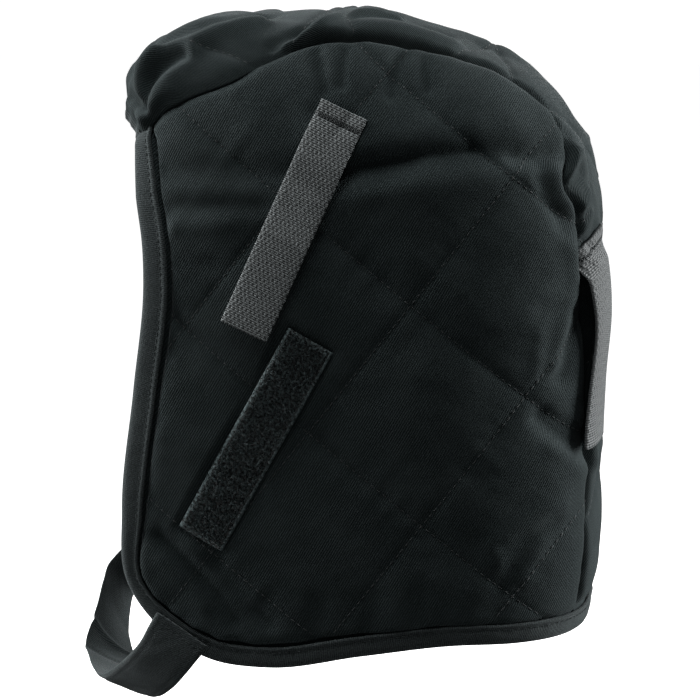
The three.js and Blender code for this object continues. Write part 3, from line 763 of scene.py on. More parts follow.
def pressed(out, y, z, broad):
    # the depth of the outer face, deeper under the patch and at the strap's sewn end
    share, off = tapePlace(y, z, patchPlace)
    beside = np.maximum(np.abs(off) - inchTape / 2, np.maximum(-share, share - 1) * patchPlace["length"])
    under = 1 - smooth(beside, -1, 5)
    out = mix(out, np.maximum(out, 1.3 + 0.35 * broad), under) + 0.7 * bell(beside, 2.2)
    share, off = tapePlace(y, z, strapPlace)
    bar = np.hypot((share - 0.05) * strapPlace["length"], np.maximum(0, np.abs(off) - 11))
    return out + 1.1 * bell(bar, 6)


def sideDepths(point, hand):
    # depth of the outer and inner faces below the form: wall less puff, plus dents, wrinkles and puckers
    place = point[..., 1:]
    y, z = place[..., 0], place[..., 1]
    scallop = panelEdge["scallop"] * ripple(5, (y - z) / 11 + 3.3 * hand, (y + z) / 60) * smooth(-z, 250, 300)
    fromEdge = awayFromPath(place, edgePath) / bindingWidth(z) + scallop
    fromSeam = awayFromPath(point, seamPath)
    inward = rounded(fromEdge, panelEdge["binding"], panelEdge["puffTo"])
    held = smooth(fromEdge, panelEdge["binding"], panelEdge["heldTo"])
    a, b = quiltPlace(y, z)
    puffA, nearB = cellsBetween(a, quilt["linesB"])
    puffB, nearA = cellsBetween(b, quilt["linesA"])
    puff = mix(1, puffA, 0.6) * puffB * inward * rounded(fromSeam, 0, 11)
    dent = sum(depth * bell(awayFromPath(place, np.array(line, float)), width)
               for width, depth, *line in foldRows)
    dent = dent * smooth(fromEdge, panelEdge["binding"], panelEdge["dentTo"]) * smooth(fromSeam, 0.5, 5)
    # wrinkles of three sizes, and puckers along the quilting, the hem and the seam, other ones on each side
    shift = 31.7 * hand
    broad = ripple(0, y / 47 + shift, z / 36) * wrinkle["broad"]
    middle = ripple(1, y / 19 + shift, z / 14) * wrinkle["middle"]
    fine = ripple(2, y / 6.5 + shift, z / 5.5) * wrinkle["fine"]
    tug = ripple(3, a / 6.2 + shift, b / 90) * np.exp(-nearA / 9)
    tug = tug + ripple(4, b / 6.2 + shift, a / 90) * np.exp(-nearB / 9)
    hemTug = ripple(5, (y - z) / 9 + shift, (y + z) / 60) * np.exp(-np.maximum(0, fromEdge - 13) / 9)
    hemTug = wrinkle["hemPucker"] * hemTug * smooth(fromEdge, 11.5, 14)
    seamTug = ripple(6, (y + shift) / 7, z / 7) * np.exp(-fromSeam / 9) * smooth(fromSeam, 0, 4)
    loose = (broad + middle) * inward * smooth(fromSeam, 2, 20) + fine
    loose = loose + wrinkle["pucker"] * (tug * inward + hemTug + wrinkle["seamPucker"] * seamTug)
    # the quilting lies flatter low down, most of all toward the back
    tight = mix(0.4, 1, smooth(z + 0.6 * y, -300, -200))
    tight = tight * (1 - 0.35 * smooth(y, 45, 85) * smooth(-z, 190, 220))
    groove = quilt["groove"] * (bell(nearA, quilt["grooveWide"]) + bell(nearB, quilt["grooveWide"]))
    groove = groove * inward * tight
    groove = groove + panelEdge["trench"] * bell(fromEdge - panelEdge["trenchAt"], panelEdge["trenchWide"])
    flat = (1 - puff) * mix(1, tight, held)
    drop = wall["seamDrop"] * (1 - 0.4 * smooth(-y, 30, 55) * smooth(z, -70, -50))
    out = mix(wall["edgeOut"], wall["stitchOut"], held) * flat + dent + loose + groove * (1 - puff)
    out = pressed(out + drop * bell(fromSeam, 3), y, z, broad)
    into = mix(wall["edgeIn"], mix(wall["stitchIn"], wall["full"], puff), held) + 0.8 * dent + 0.5 * loose
    return out, np.maximum(into, out + wall["least"])


def clothPlace(place):
    # lengths on the form: sqrt(1 + slope^2) summed along y at each z, and along z at each y, from one point
    y, z = np.linspace(-120, 138, 259), np.linspace(-332, 22, 355)
    x = sidePoint(*np.meshgrid(y, z, indexing="ij"))[..., 0]
    alongY = np.cumsum(np.hypot(1, np.clip(np.gradient(x, y, axis=0), -3, 3)), axis=0)
    alongZ = np.cumsum(np.hypot(1, np.clip(np.gradient(x, z, axis=1), -3, 3)), axis=1)
    lengths = np.stack([alongY - alongY[120], alongZ - alongZ[:, 180, None]], -1)
    return gridAt(lengths, place[..., 0] - y[0], place[..., 1] - z[0])


def sideGrid(hand):
    # straight rungs in the side view, from the cut edge to the seam
    edge = evenly(edgeFine, panelCells["along"])
    seam = seamSide(seamAngles(panelCells["along"]))
    v = np.linspace(0, 1, panelCells["across"] + 1)
    v = mix(v, smooth(v, 0, 1), 0.45)  # closer rows at the binding and at the seam
    place = mix(edge[:, None], seam[:, None, 1:], v[None, :, None])
    point = sidePoint(place[..., 0], place[..., 1])
    point[:, -1] = seam
    out, into = sideDepths(point, hand)
    return sunk(point, out), sunk(point, into), clothPlace(place)


def sideRuns(hand):
    # stitch paths along the quilting lines, where they lie on the panel
    runs = []
    step = np.arange(-260, 330, 0.6)
    (ay, az), (by, bz) = quilt["alongA"], quilt["alongB"]
    lines = [(step, np.full_like(step, line)) for line in quilt["linesA"]]
    lines += [(np.full_like(step, line), step) for line in quilt["linesB"]]
    for a, b in lines:
        y = quilt["point"][0] + a * ay + b * by
        z = quilt["point"][1] + a * az + b * bz
        place = np.stack([y, z], -1)
        keep = insideOutline(place, panelOutline)
        keep &= awayFromPath(place, edgePath) > 12
        for first, last in runsOf(keep):
            point = sidePoint(y[first:last], z[first:last])
            near = awayFromPath(point, seamPath) > 1.5
            share, off = tapePlace(point[:, 1], point[:, 2], patchPlace)
            near &= ~((np.abs(off) < 12) & (share > 0) & (share < 1))
            for start, end in runsOf(near):
                stretch = point[start:end]
                out, _ = sideDepths(stretch, hand)
                runs.append((sunk(stretch, out), normalAt(stretch)))
    return runs


def makeSidePanel(hand):
    # the left panel's shape with its own wrinkles, mirrored for the right one
    name = ("side_panel_left", "side_panel_right")[hand]
    outer, inner, uv = sideGrid(hand)
    runs = sideRuns(hand)
    if hand:
        outer, inner = mirrored(outer), mirrored(inner)
        runs = [(mirrored(path), mirrored(normals)) for path, normals in runs]
    panel = sheetBetween("cloth_" + name, outer, inner, uv, twillCloth)
    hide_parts(name)
    stitchRows("stitches_" + name, runs)


for hand in (0, 1):
    makeSidePanel(hand)
print("side panels made")


# crown panel: gathered at the brow, rolled over its side seams
crownCells = dict(along=330, across=150, evened=6, weave=1.2)
crownLines = [
    # stitch lines: fromAlong, fromX, toAlong, toX, back positive
    (-27.5, 52, 10.5, -46), (-83, 45, -44, 58), (61, 38, 80, -40), (66, -42, 98, 38), (-112, 22, -60, -50),
    (-30, -52, 10, 47), (-83, -45, -44, -58), (105, 42, 186, -42), (105, -42, 186, 42), (186, 42, 268, -40),
    (186, -42, 268, 40), (268, 40, 340, -30), (268, -40, 340, 30),
]
crownFolds = [
    # width, height (under 0 is a valley), then distance along and off the middle of the points along it
    (4.6, 3.6, (-112, 38), (-97, 42), (-81, 44), (-59, 38), (-43, 27)),
    (6.5, -4.0, (-108, 25), (-92, 28), (-76, 30), (-59, 22), (-44, 9)),
    (4.2, 3.4, (-136, 54), (-113, 54), (-101, 52.5), (-88, 51), (-82, 47.5)),
    (3.4, -4.4, (-126, 51), (-112, 48.5), (-98, 48.5), (-88, 48.5)),
    (3.2, 3.2, (-125, 48), (-117, 43.5), (-108, 42), (-100, 41)),
    (3.0, -3.6, (-126, 51), (-128, 45), (-130, 38)),
    (3.0, 2.2, (-134, 48), (-136, 40)), (2.6, -2.2, (-138, 50), (-140, 42)),
    (4.5, 2.0, (-134, 26), (-108, 24)), (4.5, -2.0, (-134, 18), (-110, 15)), (4.5, 2.0, (-134, 9), (-106, 8)),
    (16, -2.2, (-84, 6), (-46, 0)), (13, -1.2, (22, 4), (36, 2)),
    (3.4, 3.0, (-29, 48), (-20, 43), (-12, 39), (-5, 33), (0, 25), (6, 16), (14, 9), (26, 4)),
    (4, -2.6, (-37, 47), (-28, 42), (-19, 37), (-12, 30), (-8, 20)),
    (11, -1.8, (-46, 48), (-38, 36), (-32, 22)),
    (8, 2.7, (-8, 42), (4, 37), (20, 31), (40, 26), (57, 22)),
    (6, -3.0, (6, 22), (14, 17), (26, 11), (40, 5), (52, 1)),
    (3.6, 2.6, (151, 44), (146, 30)), (4, -2.2, (139, 42), (135, 28)),
    (3.6, 2.6, (177, 44), (168, 30)), (4.5, -2.4, (162, 46), (156, 32)),
    (3.5, 1.8, (187, 42), (178, 30)), (4, -1.6, (196, 40), (188, 26)),
    (4.5, 2.2, (205, 28), (255, 27), (310, 25)), (3, -1.8, (205, 36), (310, 33)),
    (7, 1.2, (190, 14), (300, 12)), (7, -1.2, (185, 3), (300, 2)),
]
farSwells = [
    # distance along, spread, height, all on the far side of the middle
    (75, 13, 2.2), (36, 14, -1.0), (-64, 12, -0.8),
]
gather = dict(ruffles=6, height=1.7, fade=30, flat=8, small=0.65, smallPitch=7.4, curl=3.6)
crownHem = dict(trench=1.7, trenchAt=10.2, trenchWide=1.3, tuck=0.8)


def crownStation(angle, share):
    # the crown's places across a seam station, swung toward the level nape hem
    tuck = crownHem["tuck"] * smooth(-angle, 36, 46)  # the seam is closed above the hem
    x = (seamHalf(angle) - hem["seamGap"] + tuck) * share
    swung = angle + (napeAngle(x) - seamEnd) * smooth(-angle, -20, 57)
    return swung - hem["browRise"] * (1 - np.abs(share) ** 3) * smooth(angle, 112, 147), x


def fromBrowEdge(angle, x):
    # distance along the crown from its brow edge, which rises toward the middle
    share = np.clip(np.abs(x) / seamHalf(angle), 0, 1)
    return alongCrown(angle) - alongCrown(hem["browAngle"] - hem["browRise"] * (1 - share**3))


def crownFoldLift(along, x):
    # height * bell of the distance to each fold's line, milder on the side that is not seen, and far swells
    place = np.stack([along, np.abs(x)], -1)
    folds = sum(height * bell(awayFromPath(place, np.array(line, float)), width)
                for width, height, *line in crownFolds)
    folds = folds * mix(0.5, 1, smooth(x, -14, 10))
    for middle, spread, height in farSwells:
        folds = folds + height * bell(along - middle, spread) * smooth(-x, 4, 18)
    return folds


def browGather(along, x, share, fromBrow, fromSeam):
    # cosine ruffles that fade toward the top, and small gathers at the brow edge
    fade = np.exp(-np.maximum(0, fromBrow - gather["flat"]) / gather["fade"])
    ruffle = gather["height"] * np.cos(math.pi * gather["ruffles"] * share) * (1 - share**6)
    wander = 2.5 * ripple(7, x / 14, along / 40)
    small = gather["small"] * np.cos(2 * math.pi * x / gather["smallPitch"] + wander)
    return fade * (ruffle + small * np.exp(-np.maximum(0, fromBrow) / 13) * smooth(fromSeam, 1, 7))


def crownDepths(angle, x):
    # depth of the outer and inner faces: wall less puff, less ruffles and folds, plus wrinkles and puckers
    along = alongCrown(angle)
    fromBrow = fromBrowEdge(angle, x)
    fromNape = alongCrown(napeAngle(x)) - along
    fromSeam = (seamHalf(angle) - np.abs(x)) * 1.25
    place = np.stack([along, x], -1)
    near = np.full(along.shape, np.inf)
    tug = np.zeros(along.shape)
    for number, line in enumerate(crownLines):
        away = awayFrom(place, line[:2], line[2:])
        near = np.minimum(near, away)
        tug = tug + ripple(3, x / 6.2 + 7 * number, along / 60) * np.exp(-away / 9)
    opened = smooth(fromBrow, 3, 16)
    inward = opened * rounded(fromNape, 11.8, 27)
    held = smooth(fromBrow, 2, 14) * smooth(fromNape, 12, 22)
    soft = np.hypot(near, quilt["round"]) - quilt["round"]
    puff = (1 - np.exp(-soft / 11)) ** 0.7 * rounded(fromSeam, 0, 11) * inward
    folds = crownFoldLift(along, x) * opened * smooth(fromSeam, 0, 5) * smooth(fromNape, 8, 22)
    lift = browGather(along, x, x / seamHalf(angle), fromBrow, fromSeam) + folds
    broad = ripple(8, along / 40, x / 26) * 0.7 + ripple(9, along / 15, x / 13) * 0.32
    fine = ripple(10, along / 6, x / 6) * 0.1
    seamTug = ripple(11, along / 6.5, x / 30) * np.exp(-fromSeam / 8) * smooth(fromSeam, 0.5, 4)
    hemTug = ripple(5, x / 8, along / 50) * np.exp(-np.maximum(0, fromNape - 10) / 9)
    loose = broad * inward * smooth(fromSeam, 1, 14) + fine
    loose = loose + wrinkle["pucker"] * (tug + 1.5 * seamTug + hemTug) * inward
    groove = 0.5 * bell(near, quilt["grooveWide"]) * inward
    groove = groove + crownHem["trench"] * bell(fromNape - crownHem["trenchAt"], crownHem["trenchWide"])
    # the brow edge curls under, and the seam is deep and narrow where the crown rolls over it
    curl = gather["curl"] * (1 - np.sqrt(np.clip(1 - np.clip(1 - fromBrow / 11, 0, 1) ** 2, 0, 1)))
    roll = smooth(along, -34, -20) * smooth(-along, -78, -50)
    drop = wall["seamDrop"] * bell(fromSeam, mix(3, 1.8, roll)) * smooth(fromNape, 9, 18)
    drop = drop * (1 + 0.6 * roll - 0.65 * smooth(-along, 38, 72))
    out = mix(wall["edgeOut"], wall["stitchOut"], held) * (1 - puff) - lift + loose + groove + curl + drop
    into = mix(wall["edgeIn"], mix(wall["stitchIn"], wall["full"], puff), held) - lift + 0.5 * loose + curl
    return out, np.maximum(into, out + wall["least"])


def crownGrid():
    # the panel across each seam station, its columns closer toward the seams
    share = np.sin(np.linspace(-1, 1, crownCells["across"] + 1) * math.pi / 2 * 0.82)
    share = share / share[-1]
    angle, x = crownStation(seamAngles(crownCells["along"])[:, None], share[None])
    out, into = crownDepths(angle, x)
    point = crownPoint(angle, x)
    outer = sunk(point, out)
    # the cloth's own width: distance across each row of the outer face from the middle, evened over the rows
    # on both sides; the weave is a little finer than on the side panels
    beside = crownCells["evened"]
    step = np.pad(np.linalg.norm(np.diff(outer, axis=1), axis=-1), ((beside, beside), (1, 0)), mode="edge")
    step = sum(step[row:row + len(outer)] for row in range(2 * beside + 1)) / (2 * beside + 1)
    width = np.cumsum(step, axis=1)
    width = width - width[:, width.shape[1] // 2, None]
    return outer, sunk(point, into), crownCells["weave"] * np.stack([width, alongCrown(angle)], -1)


def crownRuns():
    # stitch paths along the quilting lines, where they lie on the panel
    runs = []
    t = np.linspace(0, 1, 240)
    for fromAlong, fromX, toAlong, toX in crownLines:
        angle, x = angleAlong(mix(fromAlong, toAlong, t)), mix(fromX, toX, t)
        keep = (np.abs(x) < seamHalf(angle) - 1.5) & (angle > napeAngle(x) + 4.5)
        for first, last in runsOf(keep):
            here, off = angle[first:last], x[first:last]
            out, _ = crownDepths(here, off)
            point = crownPoint(here, off)
            runs.append((sunk(point, out), normalAt(point)))
    return runs


crownOuter, crownInner, crownFlat = crownGrid()
crownPiece = sheetBetween("cloth_crown_panel", crownOuter, crownInner, crownFlat, twillCloth)
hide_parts("crown_panel")
stitchRows("stitches_crown_panel", crownRuns())
print("crown panel made")


# edge binding: an outer contour and a slot contour of the same count, carried along the cut edge
bindingSection = [
    # off the cut edge, above the form: outer leg with its lip and stitch groove, nose, inner leg
    (-11.0, -2.3), (-11.2, -1.4), (-10.7, -0.75), (-9.9, -0.6), (-9.1, -0.75), (-8.4, -1.1), (-7.9, -1.22),
    (-7.3, -1.15), (-6.2, -0.95), (-4.4, -0.85), (-2.4, -0.8), (-0.6, -0.95), (0.9, -1.6), (1.9, -2.7),
    (2.4, -4.2), (1.9, -5.8), (0.9, -6.8), (-1.0, -7.3), (-7.9, -7.0), (-10.0, -7.4), (-10.9, -7.0),
    (-11.0, -6.2),
]
slotCorners = [(-10.9, -2.45), (0.9, -2.45), (0.9, -5.95), (-10.9, -5.95)]
bindingCells = dict(step=1.5, ripple=0.22, wander=0.3, stitchIn=7.9)


def tapeAlong(path, section, wave=0.0):
    # each station: path + off * b + normal * n, off square to the path on the form, the legs as wide as the
    # binding is there
    normal = normalAt(path)
    off = unit(np.cross(unit(np.gradient(path, axis=0)), normal))
    narrow = (bindingWidth(path[:, 2])[:, None] - 1) * (section[:, 0] < -3)
    across = section[:, 0] * (1 + narrow)
    above = section[:, 1] + wave
    return path[:, None] + off[:, None] * across[..., None] + normal[:, None] * above[..., None], off, normal


def bindingPath():
    # the cut edge from one temple round the nape to the other, led in under the crown at both ends
    flat = evenly(edgePath, 900)
    near = sidePoint(flat[:, 0], flat[:, 1])
    x = seamHalf(seamEnd) * np.linspace(1, -1, 81)[1:-1]
    lead = near[0] + unit(near[0] - near[6]) * np.array([[9.0], [6.0], [3.0]])
    lead = lead - normalAt(near[:1]) * np.array([[4.2], [2.2], [0.6]])
    near = np.concatenate([lead, near])
    whole = np.concatenate([near, crownPoint(napeAngle(x), x), mirrored(near[::-1])])
    total = lengthAlong(whole)[-1]
    return evenly(whole, int(total / bindingCells["step"])), total


def makeBinding():
    path, total = bindingPath()
    along = np.linspace(0, total, len(path))
    section = np.array(bindingSection)
    reach = lengthAlong(section)
    # the tape swells between stitches and wanders a little
    swell = bell(reach - 6.2, 5)
    wave = bindingCells["ripple"] * ripple(0, along[:, None] / 4.2, reach[None] / 6) * swell
    wave = wave + bindingCells["wander"] * ripple(1, along[:, None] / 21, reach[None] / 30) * swell
    outer, off, normal = tapeAlong(path, section, wave)
    inner, _, _ = tapeAlong(path, evenly(np.array(slotCorners), len(section) - 1))
    uv = pairs(along[:, None], reach[None])
    piece = sheetBetween("cloth_edge_binding", outer, inner, uv, bindingCloth)
    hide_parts("edge_binding")
    line = path - off * bindingCells["stitchIn"] * bindingWidth(path[:, 2])[:, None]
    runs = [(line - normal * 1.18, normal), (line - normal * 7.05, -normal)]
    stitchRows("stitches_edge_binding", runs, bindingCloth, "binding_twill", length=2.3, pitch=3.4,
               radius=0.24)


makeBinding()
print("edge binding made")


# brow band
browBand = dict(
    width=8, tape=1.1, gap=0.5, nose=1.6, edgeRoom=0.8, endGap=0.6, pitch=7.0, height=0.3, cells=420,
)


def makeBrowBand():
    # folded over the first row of the crown's own grids, with small gathers across it
    count = browBand["cells"]
    columns = np.arange(crownOuter.shape[1])
    width = lengthAlong(crownOuter[0])
    want = np.interp(np.linspace(browBand["endGap"], width[-1] - browBand["endGap"], count), width, columns)
    top, bottom = (rowsAt(want, columns, grid[0]) for grid in (crownOuter, crownInner))
    topBack, bottomBack = (rowsAt(want, columns, grid[9]) for grid in (crownOuter, crownInner))
    up, topOff, bottomOff = unit(top - bottom), unit(top - topBack), unit(bottom - bottomBack)
    along = np.linspace(0, width[-1], count)
    fold = np.cos(2 * math.pi * along / browBand["pitch"] + 3 * ripple(4, along / 11, along * 0))
    fold = (fold * browBand["height"] * smooth(along, 2, 10) * smooth(width[-1] - along, 2, 10))[:, None]
    # outer contour: the leg above, the nose round the edge, the leg below
    nose, thick, gap = browBand["nose"], browBand["tape"], browBand["gap"]
    share = np.linspace(0, 1, 9)
    reach = mix(nose - browBand["width"], nose - 1.2, share)
    puffed = gap + thick * (0.8 + 0.35 * np.sin(math.pi * share)) - 0.5 * bell(reach + 5.5, 1.2)
    topLeg = top[:, None] + topOff[:, None] * reach[:, None] + up[:, None] * (puffed + 0.5 * fold)[..., None]
    lowLeg = bottom[:, None] + bottomOff[:, None] * reach[::-1, None]
    lowLeg = lowLeg - up[:, None] * (puffed[::-1] - 0.4 * fold)[..., None]
    turn = np.radians(np.linspace(60, -60, 5))
    half = np.linalg.norm(top - bottom, axis=1) / 2 + gap + thick
    bulge = ((top + bottom) / 2)[:, None] + topOff[:, None] * (np.cos(turn) * (nose + 0.9) - 0.9)[:, None]
    bulge = bulge + up[:, None] * (np.sin(turn) * half[:, None] + 0.5 * fold)[..., None]
    outer = np.concatenate([topLeg, bulge, lowLeg], axis=1)
    # slot: four corners clear of the crown's edge
    back, room, clear = nose - browBand["width"], browBand["edgeRoom"], gap * 0.8 * up
    corners = np.stack([top + topOff * back + clear, top + topOff * room + clear,
                        bottom + bottomOff * room - clear, bottom + bottomOff * back - clear], axis=1)
    t = np.linspace(0, 3, outer.shape[1])
    k = np.minimum(2, t.astype(int))
    inner = mix(corners[:, k], corners[:, k + 1], (t - k)[None, :, None])
    uv = pairs(along[:, None], np.linspace(0, 30, outer.shape[1])[None])
    piece = sheetBetween("cloth_brow_band", outer, inner, uv, bindingCloth)
    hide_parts("brow_band")


makeBrowBand()
print("brow band made")


# straps of one inch webbing and the loop patches
strapShape = dict(
    thick=1.5, slack=1.0, lift=1.8, rib=0.12, ribPitch=1.17, barAt=0.06, barDeep=0.7, barWide=1.4, zigzag=1.7,
    cellsAlong=150, cellsAcross=34,
)


def easeUp(height, width):
    # a smooth curve above a row of heights: running maximum, then running mean
    def windows(row):
        return np.lib.stride_tricks.sliding_window_view(np.pad(row, width, mode="edge"), 2 * width + 1)

    return windows(windows(height).max(-1)).mean(-1)


def stripFrame(place, count, across):
    # a flat strip down the panel: shares along it, places across it, normals, points, and the form under them
    share = np.linspace(0, 1, count)
    y, z = mix(place["fromY"], place["toY"], share), mix(place["fromZ"], place["toZ"], share)
    point = sidePoint(y, z)
    normal = normalAt(point)
    ahead = unit(np.array([0, place["toY"] - place["fromY"], place["toZ"] - place["fromZ"]]))
    wide = unit(np.cross(ahead, normal))
    off = np.linspace(-0.5, 0.5, across) * inchTape
    spread = point[:, None] + wide[:, None] * off[:, None]
    return share, off, normal, spread, sidePoint(spread[..., 1], spread[..., 2])


def webbingHeight(off, fromBar, thick, ribShare=1):
    # thickness of the webbing: less at its selvages, ribbed along, pressed in under the bar stitch
    edge = 1 - np.abs(2 * off / inchTape) ** 14
    rib = strapShape["rib"] * np.sin(2 * math.pi * off / strapShape["ribPitch"]) * ribShare
    bar = strapShape["barDeep"] * bell(fromBar, strapShape["barWide"])
    return np.maximum(0.5, thick * mix(0.55, 1.0, edge) + rib - bar)


def barStitch(name, high, normals, row, column):
    # a zigzag of thread across a strap near its sewn end
    i, j = row.astype(int), column.astype(int)
    zigzag = mix(high[i, j], high[i, j + 1], (column - j)[:, None])
    stitchRows("bar_stitch_" + name, [(zigzag, normals[i, j])], slot="strap_webbing", length=2.0, pitch=1.25,
               radius=0.34)


def makeHookStrap(hand):
    # sewn down at its upper end, clear of the panel below it and lifting at its free end
    name = ("hook_strap_left", "hook_strap_right")[hand]
    count, across = strapShape["cellsAlong"] + 1, strapShape["cellsAcross"] + 1
    share, off, normal, spread, under = stripFrame(strapPlace, count, across)
    out, _ = sideDepths(under, hand)
    sewn = 1 - smooth(share, 0.07, 0.2)[:, None]
    middle = easeUp((-out).max(1), 9) + 0.45
    middle = middle + strapShape["slack"] * np.sin(math.pi * np.minimum(1, share * 0.8)) ** 2
    middle = middle + strapShape["lift"] * smooth(share, 0.72, 1.0) ** 2
    base = mix(middle[:, None], 0.35 - out, sewn)
    crown = 0.5 * (1 - (2 * off / inchTape) ** 2) * smooth(share, 0.2, 0.8)[:, None]
    fromBar = (share - strapShape["barAt"])[:, None] * strapPlace["length"]
    height = webbingHeight(off, fromBar, strapShape["thick"], 1 - 0.4 * sewn)
    # the tape bends across with the panel, a little less than the panel does
    low = mix(spread, under, 0.85) + normal[:, None] * (base + crown)[..., None]
    high = low + normal[:, None] * height[..., None]
    if hand:
        low, high, normal = mirrored(low), mirrored(high), mirrored(normal)
    uv = pairs(off[None], share[:, None] * strapPlace["length"])
    strap = sheetBetween("webbing_" + name, high, low, uv, strapCloth)
    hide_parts(name)
    place = np.linspace(-11.6, 11.6, 140)
    swing = strapShape["barAt"] + 0.0085 * np.sign(np.sin(place * 2 * math.pi / strapShape["zigzag"]))
    row, column = np.interp(swing, share, np.arange(count)), np.interp(place, off, np.arange(across))
    barStitch(name, high, np.broadcast_to(normal[:, None], high.shape), row, column)


patchShape = dict(thick=1.1, pileHigh=1.15, yarn=0.14, loops=2900, cellsAlong=90, cellsAcross=26)


def pileHoops(top, upward, hand):
    # each loop is a small hoop, leaning and turned at random: foot + span * cos + tip * sin over half a turn
    rng = np.random.default_rng(40 + hand)
    n = patchShape["loops"]
    count, across = top.shape[:2]
    row, column = rng.uniform(1.5, count - 2.5, n), rng.uniform(2.1, across - 3.1, n)
    foot = gridAt(top, row, column)
    up = upward[row.astype(int), column.astype(int)]
    spin = rng.uniform(0, 2 * math.pi, n)[:, None]
    sideways = unit(np.cross(up, np.array([0.3, 0.2, 1.0])))
    span = sideways * np.cos(spin) + unit(np.cross(sideways, up)) * np.sin(spin)
    lean = 0.75 * rng.normal(0, 0.5, (n, 1)) * np.cross(up, span)
    tip = unit(up + lean + 0.3 * rng.normal(0, 1, (n, 3)))
    wideness = rng.uniform(0.4, 0.95, (n, 1, 1))
    tallness = rng.uniform(0.6, 1.0, (n, 1, 1)) * patchShape["pileHigh"]
    turn = np.linspace(0, math.pi, 6)[:, None]
    line = foot[:, None] + span[:, None] * (wideness * np.cos(turn))
    line = line + tip[:, None] * (tallness * np.sin(turn) - 0.1)
    ahead = unit(np.gradient(line, axis=1))
    outward = unit(np.cross(ahead, np.cross(span, tip)[:, None] + 1e-6))
    points, faces = tubes(line, outward, np.cross(ahead, outward), patchShape["yarn"])
    return points, faces, np.repeat(np.stack([column - 13, row], -1), len(points) // n, axis=0)


def makeLoopPatch(hand):
    # a stiff backing that follows the panel loosely, with its pile and a row of stitches inside its edge
    name = ("loop_patch_left", "loop_patch_right")[hand]
    count, across = patchShape["cellsAlong"] + 1, patchShape["cellsAcross"] + 1
    share, off, _, _, under = stripFrame(patchPlace, count, across)
    out, _ = sideDepths(under, hand)
    upward = normalAt(under)
    stiff = easeUp((-out).mean(1), 14)[:, None] + 0.25 * (np.maximum(-out, -1.6) + 1.3)
    base = under + upward * (np.maximum(stiff, -out) + 0.3)[..., None]
    edge = 1 - np.abs(2 * off / inchTape) ** 10
    top = base + upward * (patchShape["thick"] * mix(0.5, 1.0, edge))[..., None]
    hoops, hoopFaces, hoopUv = pileHoops(top, upward, hand)
    if hand:
        base, top, upward, hoops = (mirrored(points) for points in (base, top, upward, hoops))
    uv = pairs(off[None], share[:, None] * patchPlace["length"])
    patch = sheetBetween("backing_" + name, top, base, uv, pileCloth)
    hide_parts(name)
    putMesh("pile_" + name, hoops, hoopFaces, hoopUv, pileCloth)
    rim = np.array([(3, 2), (3, across - 3), (count - 4, across - 3), (count - 4, 2), (3, 2)], float)
    row, column = np.concatenate([np.linspace(a, b, 60)[:-1] for a, b in zip(rim[:-1], rim[1:])]).T
    run = gridAt(top, row, column), upward[row.astype(int), column.astype(int)]
    stitchRows("stitches_" + name, [run], slot="loop_pile", length=2.2, pitch=3.2, radius=0.22)


for hand in (0, 1):
    makeHookStrap(hand)
    makeLoopPatch(hand)
print("side straps and patches made")


# back straps
backStrap = dict(
    x=30, farX=35, drift=5, tilt=5, fromAngle=12, toAngle=-34, off=0.8, bow=4.3, farBow=0.4,
    thick=1.6, length=105, cellsAlong=139, cellsAcross=34,
)


def makeBackStrap(side):
    # sewn at its upper end; the near one bows off the crown panel below that, the far one lies on it
    near = side > 0
    name = "hook_strap_back_left" if near else "hook_strap_back_right"
    middle, bow = (backStrap["x"], backStrap["bow"]) if near else (backStrap["farX"], backStrap["farBow"])
    count, across = backStrap["cellsAlong"] + 1, backStrap["cellsAcross"] + 1
    share = np.linspace(0, 1, count)[:, None]
    wide = np.linspace(-0.5, 0.5, across)[None]
    slant = backStrap["tilt"] * wide * (1 - 0.4 * share)
    angle = mix(backStrap["fromAngle"], backStrap["toAngle"], share) - slant
    x = side * (middle - backStrap["drift"] * np.sin(math.pi * share) ** 2 + wide * inchTape * 0.97)
    angle, x = np.broadcast_arrays(angle, x)
    out, _ = crownDepths(angle, x)
    lie = -out
    lying = 1 - smooth(share, 0.06, 0.17)
    if not near:
        # it crosses the seam's groove without dipping into it
        lie = np.maximum(lie, -3 * (1 - smooth(np.abs(x) - seamHalf(angle), -9, -3)))
        lying = np.maximum(lying, 0.8)
    clear = easeUp(lie.max(1), 9)[:, None] + 0.5
    rise = np.maximum(clear, backStrap["off"] + bow * np.sin(math.pi * share**0.6 * 0.85) ** 1.5)
    base = mix(rise, lie + 0.35, lying)
    fromBar = (share - strapShape["barAt"]) * backStrap["length"]
    height = webbingHeight(wide * inchTape, fromBar, backStrap["thick"])
    point = crownPoint(angle, x)
    low, high = sunk(point, -base), sunk(point, -base - height)
    uv = pairs(wide * inchTape, share * backStrap["length"])
    # the back strap's webbing is the copy with painted shade
    strap = sheetBetween("webbing_" + name, high, low, uv, shadedBackStrapCloth)
    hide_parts(name)
    column = np.linspace(1.5, across - 2.5, 140)
    swing = np.sign(np.sin(column * inchTape / across * 2 * math.pi / strapShape["zigzag"]))
    barStitch(name, high, normalAt(point), strapShape["barAt"] * (count - 1) + 1.1 * swing, column)


for side in (1, -1):
    makeBackStrap(side)
print("back straps made")


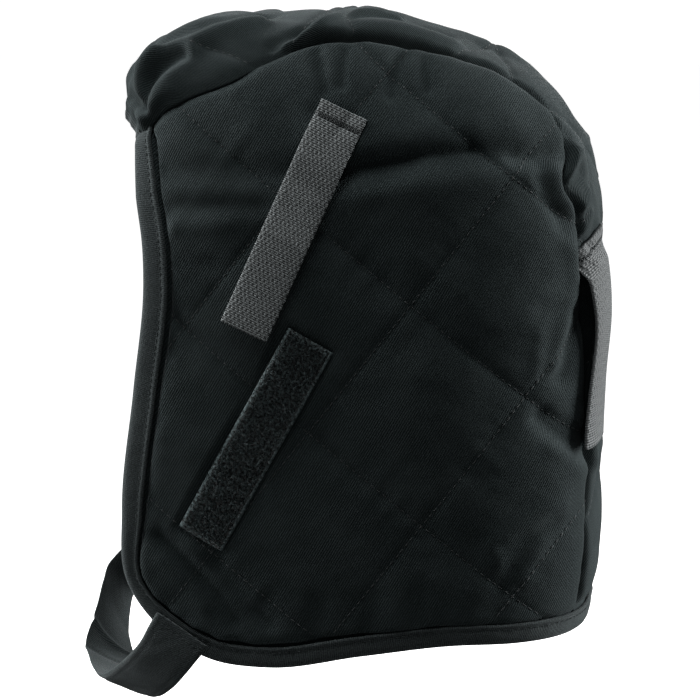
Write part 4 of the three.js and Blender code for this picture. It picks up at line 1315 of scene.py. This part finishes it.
# chin strap
chinStrap = dict(width=28.5, thick=2.0, cup=0.9, hemIn=10.6, cellsAlong=420, cellsAcross=30)
chinRows = [
    # x, y, z of the middle line, then the way the width points
    (70.5, -76.6, -305.4, 0, 0.91, -0.415), (70.2, -81, -312, 0, 0.85, -0.52),
    (69, -85.8, -319.4, 0, 0.8, -0.6), (65, -92.7, -328.4, 0, 0.86, -0.5),
    (57, -100.4, -336.6, 0, 0.9, -0.43), (44, -109.5, -344, 0, 0.93, -0.36),
    (20, -119.5, -349.4, 0, 0.945, -0.33), (-8, -129.5, -350, 0, 0.94, -0.34),
    (-24, -135.3, -346.6, -0.1, 0.9, -0.42), (-36, -136.9, -339, -0.42, 0.64, -0.64),
    (-46, -137.8, -331, -0.6, 0.44, -0.67), (-54, -137.8, -323, -0.66, 0.38, -0.65),
    (-63, -135.8, -314.8, -0.62, 0.38, -0.68), (-69, -126.4, -308, -0.4, 0.42, -0.81),
    (-71, -114.2, -304.5, -0.15, 0.45, -0.88), (-71, -104, -302.8, 0, 0.45, -0.89),
    (-70.4, -91, -302.5, 0, 0.42, -0.9), (-70.4, -75.5, -303, 0, 0.45, -0.89),
]


def makeChinStrap():
    # a ribbon along a smooth curve, its width turning with the rows, slightly cupped and creased
    rows = np.array(chinRows, float)
    reach = lengthAlong(rows[:, :3])
    at = np.linspace(0, reach[-1], chinStrap["cellsAlong"] + 1)
    middle, wide = (np.stack([curveThrough(reach, column)(at) for column in part.T], -1)
                    for part in (rows[:, :3], rows[:, 3:]))
    ahead = unit(np.gradient(middle, axis=0))
    wide = unit(wide - ahead * np.sum(wide * ahead, -1, keepdims=True))
    normal = unit(np.cross(ahead, wide))
    across = np.linspace(-1, 1, chinStrap["cellsAcross"] + 1)
    off = across * chinStrap["width"] / 2
    flare = 1 + 0.1 * (1 - smooth(at, 0, 24))[:, None, None]  # spread a little where it is sewn on
    cup = -chinStrap["cup"] * across**2 * np.sin(math.pi * at / reach[-1])[:, None]
    slant = at[:, None] + 0.7 * off[None]
    crease = 0.7 * ripple(2, slant / 15, off[None] / 13) + 0.2 * ripple(3, slant / 5.5, off[None] / 7)
    # two sharp creases where it doubles back on the far side: place among the rows, height, width
    for row, height, width in ((7.5, 1.1, 2.2), (8.5, -1.4, 1.8)):
        spot = np.interp(row, np.arange(len(rows)), reach)
        crease = crease + height * bell(at[:, None] - spot + 0.5 * off[None], width)
    # thinner at its edges, with a line of sewing pressed in beside each
    thick = mix(0.4, 1.0, 1 - np.abs(across) ** 12) * chinStrap["thick"]
    thick = thick - 0.25 * bell(np.abs(off) - chinStrap["hemIn"], 0.9)
    low = middle[:, None] + wide[:, None] * off[:, None] * flare + normal[:, None] * (cup + crease)[..., None]
    high = low + normal[:, None] * thick[:, None]
    uv = pairs(at[:, None], off[None])
    strap = sheetBetween("tape_chin_strap", high, low, uv, bindingCloth)
    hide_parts("chin_strap")
    # sewn through to the binding at its near and far ends
    runs = [(high[row], np.repeat(normal[row][None], high.shape[1], axis=0)) for row in (6, -7)]
    stitchRows("stitches_chin_strap", runs, bindingCloth, "binding_twill", length=2.2, pitch=3.2, radius=0.22)


makeChinStrap()
print("chin strap made")
